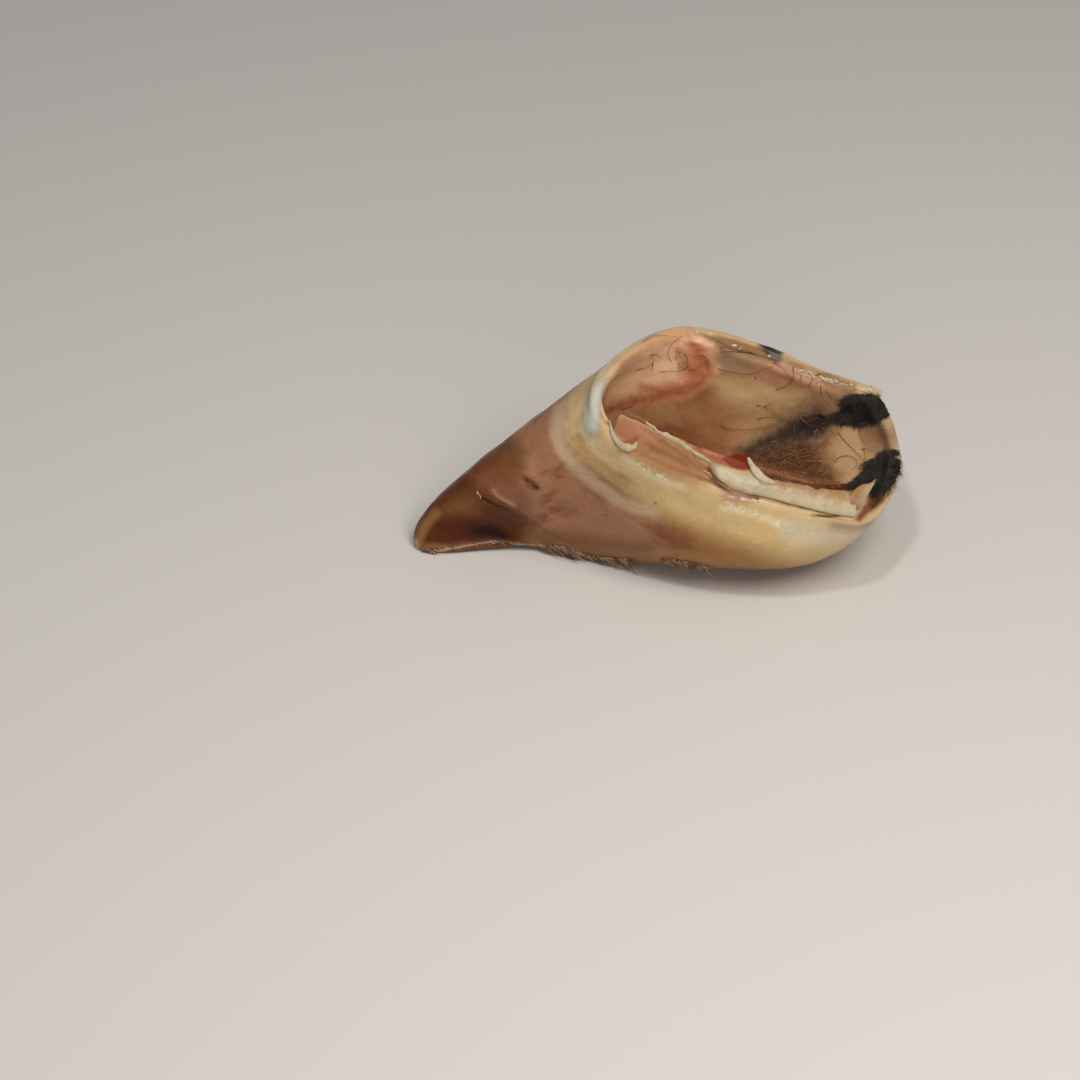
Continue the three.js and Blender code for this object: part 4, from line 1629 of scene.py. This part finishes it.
# Long dark hairs on the far inside, on the opening's enlargement
LONG_HAIRS = [
    [(300, 275), (335, 262), (368, 245), (377, 225), (372, 205), (390, 200)],
    [(370, 205), (395, 200), (418, 222)],
    [(377, 240), (380, 275)],
    [(465, 232), (452, 215), (445, 190), (450, 168), (470, 145), (515, 118)],
    [(413, 283), (450, 275), (500, 272), (540, 262)],
    [(487, 230), (483, 205), (495, 190), (512, 193)],
    [(495, 238), (508, 258), (535, 266), (575, 265), (595, 250)],
    [(525, 195), (536, 215), (538, 245), (525, 265), (508, 272), (495, 262)],
    [(592, 205), (615, 206), (630, 222), (632, 240)],
    [(688, 192), (760, 193), (830, 196)],
    [(625, 240), (645, 245), (662, 262)],
    [(678, 267), (730, 278), (790, 287), (850, 283), (880, 270), (932, 260)],
    [(848, 306), (857, 320)],
    [(930, 240), (960, 255), (990, 280), (1010, 305), (1022, 328)],
    [(1022, 262), (1028, 300), (1014, 342)],
    [(945, 362), (975, 354), (1005, 335), (1020, 308)],
    [(1062, 298), (1058, 320), (1075, 340), (1102, 350)],
    [(1112, 318), (1100, 348), (1125, 370), (1157, 376)],
    [(1150, 350), (1155, 380), (1172, 410), (1190, 430), (1206, 452)],
    [(1175, 365), (1200, 395), (1230, 420)],
    [(855, 432), (885, 440), (905, 435), (930, 420)],
    [(892, 440), (920, 458), (942, 478)],
    [(690, 528), (730, 540), (790, 547), (850, 542), (910, 530), (960, 512), (985, 500)],
    [(860, 500), (900, 488), (950, 490), (985, 500), (1012, 520)],
    [(1220, 690), (1245, 675), (1280, 672), (1308, 682), (1320, 702), (1312, 722), (1295, 735)],
    [(1325, 545), (1335, 570), (1345, 598), (1356, 616)],
    [(1230, 560), (1260, 600), (1300, 640), (1340, 682), (1372, 716)],
    [(1350, 630), (1357, 660), (1355, 692)],
    [(1335, 640), (1368, 640), (1396, 652)],
    [(240, 452), (270, 436), (292, 418), (306, 402)],
    [(1045, 610), (1068, 638), (1092, 662)],
    [(330, 150), (380, 128), (450, 118)],
    [(690, 178), (705, 170), (742, 184)],
    [(1130, 300), (1160, 296), (1200, 300)],
]
# A long hair's ends lie this far off the skin, and its middle is up to this much higher, in mm
LONG_HAIR_LIFT = 0.15
LONG_HAIR_ARCH = (0.3, 1.2)
LONG_HAIR_SEED = 11
# Where short pale hairs stand: outline, count, shortest and longest in mm
PALE_HAIR_AREAS = [
    ([(960, 630), (1130, 620), (1220, 680), (1250, 790), (1150, 800), (1040, 790),
      (950, 730)], 70, 2.0, 7.5),
    ([(950, 490), (1060, 470), (1190, 470), (1150, 560), (1040, 560)], 14, 2.0, 6.0),
    ([(850, 640), (960, 600), (1040, 640), (980, 720), (880, 700)], 30, 1.0, 3.5),
    ([(860, 690), (960, 730), (1080, 770), (1250, 790), (1250, 815), (1100, 800),
      (960, 765)], 120, 0.5, 1.6),
]
# How far they rise and bend for their length, and their width for a long hair's
PALE_HAIR_RISE = (0.1, 0.7)
PALE_HAIR_BEND = (-0.25, 0.25)
PALE_HAIR_WIDTH = 0.64
PALE_HAIR_POINTS = 7
PALE_HAIR_SEED = 23
# Black fur left at the coronet: outline, count, growth direction along the enlargement
FUR_AREAS = [
    (
        [(1258, 402), (1300, 390), (1380, 386), (1425, 404), (1452, 428), (1485, 462),
         (1462, 488), (1400, 514), (1340, 528), (1290, 515), (1240, 512), (1250, 480), (1258, 440)],
        2600, (-0.7, 0.5),
    ),
    (
        [(1405, 690), (1470, 665), (1518, 690), (1520, 740), (1496, 788), (1466, 826),
         (1438, 852), (1396, 860), (1384, 820), (1345, 788), (1304, 820), (1270, 818),
         (1312, 782), (1342, 748), (1374, 716)],
        2400, (-0.5, 0.8),
    ),
    ([(1412, 672), (1450, 648), (1502, 645), (1520, 662), (1470, 664)], 300, (-0.6, 0.6)),
    ([(1185, 486), (1262, 474), (1262, 520), (1195, 514)], 160, (-1.0, 0.05)),
    ([(1345, 700), (1400, 676), (1420, 700), (1350, 730)], 70, (-0.8, 0.3)),
]
# How far its roots and its directions scatter, in pixels and as a share of the growth
FUR_SPREAD = 1.2
FUR_SCATTER = 0.35
# How many hairs lean together, and how strongly
FUR_CLUMP = 24
FUR_PULL = 0.06
# The hairs' length in mm, and how far they rise for it
FUR_LENGTH = (1.2, 3.2)
FUR_RISE = (0.2, 0.55)
# No fur stands where the skin is seen at less than this cosine
FUR_FACING = 0.2
FUR_STEPS = (0, 0.35, 0.7, 1)
FUR_SEED = 37
# Colours of the hairs, each from one to another
DARK_HAIR = ((60, 40, 28), (92, 64, 44))
PALE_HAIR = ((176, 134, 92), (118, 74, 42))
BLACK_FUR = ((24, 18, 16), (58, 47, 41))
HORN_FIBRE = ((176, 142, 110), (118, 84, 58))
DARK_FIBRE = ((80, 48, 30), (50, 30, 22))


def hair_material(name, colours, roughness):
    material, tree, shader = new_material(name)
    shade = noise_value(tree, object_place(tree), HAIR_SCALE, 2)
    blend = mix_colours(tree, ramp_up(tree, shade, 0.35, 0.65), *map(linear, colours))
    tree.links.new(blend, shader.inputs["Base Color"])
    shader.inputs["Roughness"].default_value = roughness
    return material


def tapered(count, radius, tip=0.25):
    """Radii of a hair that thins towards its tip."""
    return np.linspace(1, tip, count) * radius


def make_long_hairs(look):
    """Long dark hairs that cling to the wet lining."""
    skin = Skin()
    draw = random.Random(LONG_HAIR_SEED)
    paths = []
    for points in LONG_HAIRS:
        arch = draw.uniform(*LONG_HAIR_ARCH) * np.sin(np.linspace(0, math.pi, len(points)))
        line = flowing(skin.path(OPENING, points, (LONG_HAIR_LIFT + arch) * MM), 6)
        paths.append((line, tapered(len(line), look.hair_width / 2, 0.4)))
    piece = swept("long_hairs", paths, hair_material("dark_hair", DARK_HAIR, 0.35))
    return finish_piece(piece)


def random_within(draw, outline):
    """A random pixel inside an outline."""
    low, high = outline.min(0), outline.max(0)
    while True:
        pixel = np.array([draw.uniform(low[0], high[0]), draw.uniform(low[1], high[1])])
        if is_within(pixel[None], outline)[0]:
            return pixel


def make_pale_hairs(look):
    """Short pale hairs that stand in a tangle inside the heel."""
    skin = Skin()
    draw = random.Random(PALE_HAIR_SEED)
    radii = tapered(PALE_HAIR_POINTS, look.hair_width * PALE_HAIR_WIDTH / 2)
    paths = []
    for points, count, shortest, longest in PALE_HAIR_AREAS:
        outline = on_photo(OPENING, points)
        for _ in range(count):
            found = skin.seen_at(random_within(draw, outline))
            if found is None:
                continue
            place, normal = found
            run = along_skin(draw.uniform(0, math.tau), normal)
            length = draw.uniform(shortest, longest) * MM
            rise = draw.uniform(*PALE_HAIR_RISE)
            bend = np.cross(normal, run) * draw.uniform(*PALE_HAIR_BEND)
            line = []
            for t in np.linspace(0, 1, PALE_HAIR_POINTS):
                height = rise * math.sin(t * 2.4) * 0.6 + 0.03
                line.append(place + length * (run * t + normal * height + bend * t * t))
            paths.append((line, radii))
    piece = swept("pale_hairs", paths, hair_material("pale_hair", PALE_HAIR, 0.4), 0)
    return finish_piece(piece)


def make_fur(look):
    """Black fur at the heel, short and matted."""
    skin = Skin()
    draw = random.Random(FUR_SEED)
    radii = tapered(len(FUR_STEPS), look.fur_width / 2, 0.15)
    paths = []
    for points, count, (run_x, run_y) in FUR_AREAS:
        outline = on_photo(OPENING, points)
        clumps = [random_within(draw, outline) for _ in range(count // FUR_CLUMP)]
        for _ in range(count):
            pixel = random_within(draw, outline)
            pixel = pixel + (draw.gauss(0, FUR_SPREAD), draw.gauss(0, FUR_SPREAD))
            found = skin.seen_at(pixel)
            if found is None:
                continue
            place, normal = found
            toward = -normal @ FORWARD
            if toward < FUR_FACING:
                continue
            nearest = min(clumps, key=lambda c: math.hypot(*(c - pixel)))
            pull = (nearest - pixel) * FUR_PULL
            across = run_x + pull[0] + draw.gauss(0, FUR_SCATTER)
            down = run_y + pull[1] + draw.gauss(0, FUR_SCATTER)
            run = RIGHT * across - UP * down
            run = run - normal * (run @ normal)
            run = run / max(np.linalg.norm(run), 1e-6)
            length = draw.uniform(*FUR_LENGTH) * MM * min(1, toward * 1.8)
            rise = draw.uniform(*FUR_RISE) * min(1, toward * 1.6)
            line = [place + length * (run * t + normal * rise * math.sin(t * 2.6)) for t in FUR_STEPS]
            paths.append((line, radii))
    piece = swept("fur", paths, hair_material("black_fur", BLACK_FUR, 0.5), 0)
    return finish_piece(piece)


# Frayed foot of the inner wall: view, points, roots, fibres each, shortest and longest in mm
FRAYED_EDGES = [
    (TOE, [(850, 882), (920, 892), (980, 900), (1050, 922), (1120, 945), (1200, 958), (1290, 966),
           (1365, 970)],
     150, 3, 1.5, 5.5),
    (OPENING, [(425, 1146), (480, 1160), (550, 1172), (610, 1180)], 45, 3, 1.0, 3.5),
    (TOE, [(76, 876), (96, 900), (130, 916), (190, 914)], 26, 2, 0.6, 1.8),
    (TOE, [(190, 912), (400, 876), (640, 858), (850, 884)], 40, 1, 0.5, 2.0),
]


# The fibres' directions in the frame, their half widths in mm, and how far off the edge they
# root, in pixels
FRAY_RUN = ((0.3, 1.0), (-0.4, 0.1), (-0.6, 0.05))
FRAY_WIDTH = (0.08, 0.26)
FRAY_ALONG = (-3, 3)
FRAY_ABOVE = (-4, 0.5)
FRAY_STEPS = (0, 0.3, 0.6, 1)
# They stay this far over the ground
FRAY_CLEARANCE = 0.4 * MM
# Tufts are longer, and those over this value are mostly dark
TUFT_LENGTH = 0.8
DARK_TUFT = 0.1
DARK_SHARE = 0.6
FRAY_SEED = 53


def make_frays():
    """Loose horn fibres torn out along the foot of the inner wall."""
    skin = Skin()
    draw = random.Random(FRAY_SEED)
    light, dark = [], []
    for view, points, count, each, shortest, longest in FRAYED_EDGES:
        for root in on_photo(view, along_line(points, count)):
            tuft = noise.noise(Vector((*root * 0.12, 2.0)))
            for _ in range(each):
                pixel = root + (draw.uniform(*FRAY_ALONG), draw.uniform(*FRAY_ABOVE))
                found = skin.seen_at(pixel)
                if found is None:
                    continue
                place, normal = found
                run = np.array([draw.uniform(low, high) for low, high in FRAY_RUN])
                run /= np.linalg.norm(run)
                length = draw.uniform(shortest, longest) * MM * (1 + TUFT_LENGTH * tuft)
                width = draw.uniform(*FRAY_WIDTH) * MM
                line = []
                for t in FRAY_STEPS:
                    point = place + normal * (0.2 + 0.3 * math.sin(3 * t)) * MM + run * length * t
                    point[2] = max(point[2], FRAY_CLEARANCE)
                    line.append(point)
                fibres = dark if tuft > DARK_TUFT and draw.random() < DARK_SHARE else light
                fibres.append((line, tapered(len(FRAY_STEPS), width, 0.2)))
    pieces = [
        swept("frays", light, hair_material("horn_fibre", HORN_FIBRE, 0.55), 0),
        swept("dark_frays", dark, hair_material("dark_fibre", DARK_FIBRE, 0.55), 0),
    ]
    return finish_piece(join("frays", pieces))


# Stage


# Lights: name, place, diameter, power and colour. All point at one place of the hoof.
LIGHTS = (
    ("key", (0.3, -0.4, 0.75), 0.5, 5.0, (1, 0.97, 0.93)),
    ("fill", (0.1, -1.0, 0.3), 0.6, 2.6, (1, 0.97, 0.94)),
    ("spark", (-0.15, -0.3, 0.9), 0.1, 2.0, (0.98, 0.98, 1)),
)
LIT_PLACE = (0, 0, 0.03)
FLOOR_COLOUR = (205, 200, 193)
SKY_COLOUR = (235, 235, 238)
SKY_STRENGTH = 0.28


def area_light(name, place, size, power, colour):
    data = bpy.data.lights.new(name, "AREA")
    data.shape = "DISK"
    data.size = size
    data.energy = power
    data.color = colour
    light = bpy.data.objects.new(name, data)
    bpy.context.scene.collection.objects.link(light)
    light.location = place
    ahead = Vector(LIT_PLACE) - Vector(place)
    light.rotation_euler = ahead.to_track_quat("-Z", "Y").to_euler()


def make_stage(look):
    scene = bpy.context.scene
    data = bpy.data.cameras.new("camera")
    data.lens = LENS
    data.sensor_width = SENSOR
    data.clip_end = 20
    camera = bpy.data.objects.new("camera", data)
    scene.collection.objects.link(camera)
    camera.location = EYE
    camera.rotation_euler = Vector(FORWARD).to_track_quat("-Z", "Y").to_euler()
    scene.camera = camera

    bm = bmesh.new()
    bmesh.ops.create_grid(bm, x_segments=1, y_segments=1, size=3)
    mesh = bpy.data.meshes.new("floor")
    bm.to_mesh(mesh)
    bm.free()
    material, _, shader = new_material("pale_floor")
    shader.inputs["Base Color"].default_value = linear(FLOOR_COLOUR)
    shader.inputs["Roughness"].default_value = 0.8
    floor = add_object("floor", mesh, material)

    world = bpy.data.worlds.new("studio")
    world.use_nodes = True
    background = world.node_tree.nodes["Background"]
    background.inputs["Color"].default_value = linear(SKY_COLOUR)
    background.inputs["Strength"].default_value = SKY_STRENGTH
    scene.world = world
    scene.view_settings.view_transform = "Standard"

    for name, place, size, power, colour in LIGHTS:
        area_light(name, place, size, power * look.light, colour)


# Settings, operators and panel


def tint(name, description, red, green, blue):
    return bpy.props.FloatVectorProperty(
        name=name,
        description=description,
        subtype="COLOR_GAMMA",
        min=0,
        max=1,
        default=(red / 255, green / 255, blue / 255),
    )


class HoofLook(bpy.types.PropertyGroup):
    """Sizes and colours of the hoof."""

    wall: tint("Wall", "Horn of the wall", 152, 106, 76)
    foot: tint("Foot", "Horn at the foot of the wall and under it", 132, 98, 60)
    rim: tint("Rim", "Thick cream edge at the coronet", 188, 160, 116)
    lining: tint("Lining", "Inside of the cavity", 186, 148, 104)
    membrane: tint("Membrane", "Thick pale leaves of the torn strip", 182, 169, 140)
    hair_width: bpy.props.FloatProperty(
        name="Hair width",
        description="Width of a long hair",
        default=0.2 * MM,
        min=0,
        max=MM,
        unit="LENGTH",
    )
    fur_width: bpy.props.FloatProperty(
        name="Fur width",
        description="Width of a fur hair",
        default=0.16 * MM,
        min=0,
        max=MM,
        unit="LENGTH",
    )
    unevenness: bpy.props.FloatProperty(
        name="Unevenness",
        description="Height of the soft lumps of the skin",
        default=1.0 * MM,
        min=0,
        max=3 * MM,
        unit="LENGTH",
    )
    light: bpy.props.FloatProperty(
        name="Light", description="Strength of the studio lights", default=1.0, min=0, max=10
    )


class HOOF_OT_stage(bpy.types.Operator):
    """Floor, lights and the photograph's camera"""

    bl_idname = "hoof.stage"
    bl_label = "Stage"

    def execute(self, context):
        make_stage(context.scene.hoof_look)
        return {"FINISHED"}


class HOOF_OT_skin(bpy.types.Operator):
    """Horn, rim and lining, on a copy of the solid"""

    bl_idname = "hoof.skin"
    bl_label = "Horn skin"

    def execute(self, context):
        make_skin(context.scene.hoof_look)
        return {"FINISHED"}


class HOOF_OT_torn_strip(bpy.types.Operator):
    """Torn leaves, spike and tab behind the lip, the curl at their toe end and the rim's crumbs"""

    bl_idname = "hoof.torn_strip"
    bl_label = "Torn strip"

    def execute(self, context):
        make_torn_strip(context.scene.hoof_look)
        make_curl(context.scene.hoof_look)
        make_rim_crumbs(context.scene.hoof_look)
        return {"FINISHED"}


class HOOF_OT_hairs(bpy.types.Operator):
    """Long dark hairs and short pale ones on the lining"""

    bl_idname = "hoof.hairs"
    bl_label = "Loose hairs"

    def execute(self, context):
        make_long_hairs(context.scene.hoof_look)
        make_pale_hairs(context.scene.hoof_look)
        return {"FINISHED"}


class HOOF_OT_fur(bpy.types.Operator):
    """Black fur at the heel"""

    bl_idname = "hoof.fur"
    bl_label = "Fur"

    def execute(self, context):
        make_fur(context.scene.hoof_look)
        return {"FINISHED"}


class HOOF_OT_frays(bpy.types.Operator):
    """Loose fibres along the foot of the inner wall"""

    bl_idname = "hoof.frays"
    bl_label = "Frayed foot"

    def execute(self, context):
        make_frays()
        return {"FINISHED"}


STEPS = (
    HOOF_OT_stage,
    HOOF_OT_skin,
    HOOF_OT_torn_strip,
    HOOF_OT_hairs,
    HOOF_OT_fur,
    HOOF_OT_frays,
)


class HOOF_PT_panel(bpy.types.Panel):
    """The hoof's settings and pieces"""

    bl_idname = "HOOF_PT_panel"
    bl_label = "Hoof"
    bl_space_type = "VIEW_3D"
    bl_region_type = "UI"
    bl_category = "Hoof"

    def draw(self, context):
        look = context.scene.hoof_look
        for name in HoofLook.__annotations__:
            self.layout.prop(look, name)
        for step in STEPS:
            self.layout.operator(step.bl_idname)


CLASSES = (HoofLook, *STEPS, HOOF_PT_panel)


def register():
    for item in CLASSES:
        bpy.utils.register_class(item)
    bpy.types.Scene.hoof_look = bpy.props.PointerProperty(type=HoofLook)


def unregister():
    del bpy.types.Scene.hoof_look
    for item in reversed(CLASSES):
        bpy.utils.unregister_class(item)


def main():
    register()
    for step in STEPS:
        group, name = step.bl_idname.split(".")
        getattr(getattr(bpy.ops, group), name)()


if __name__ == "__main__":
    main()
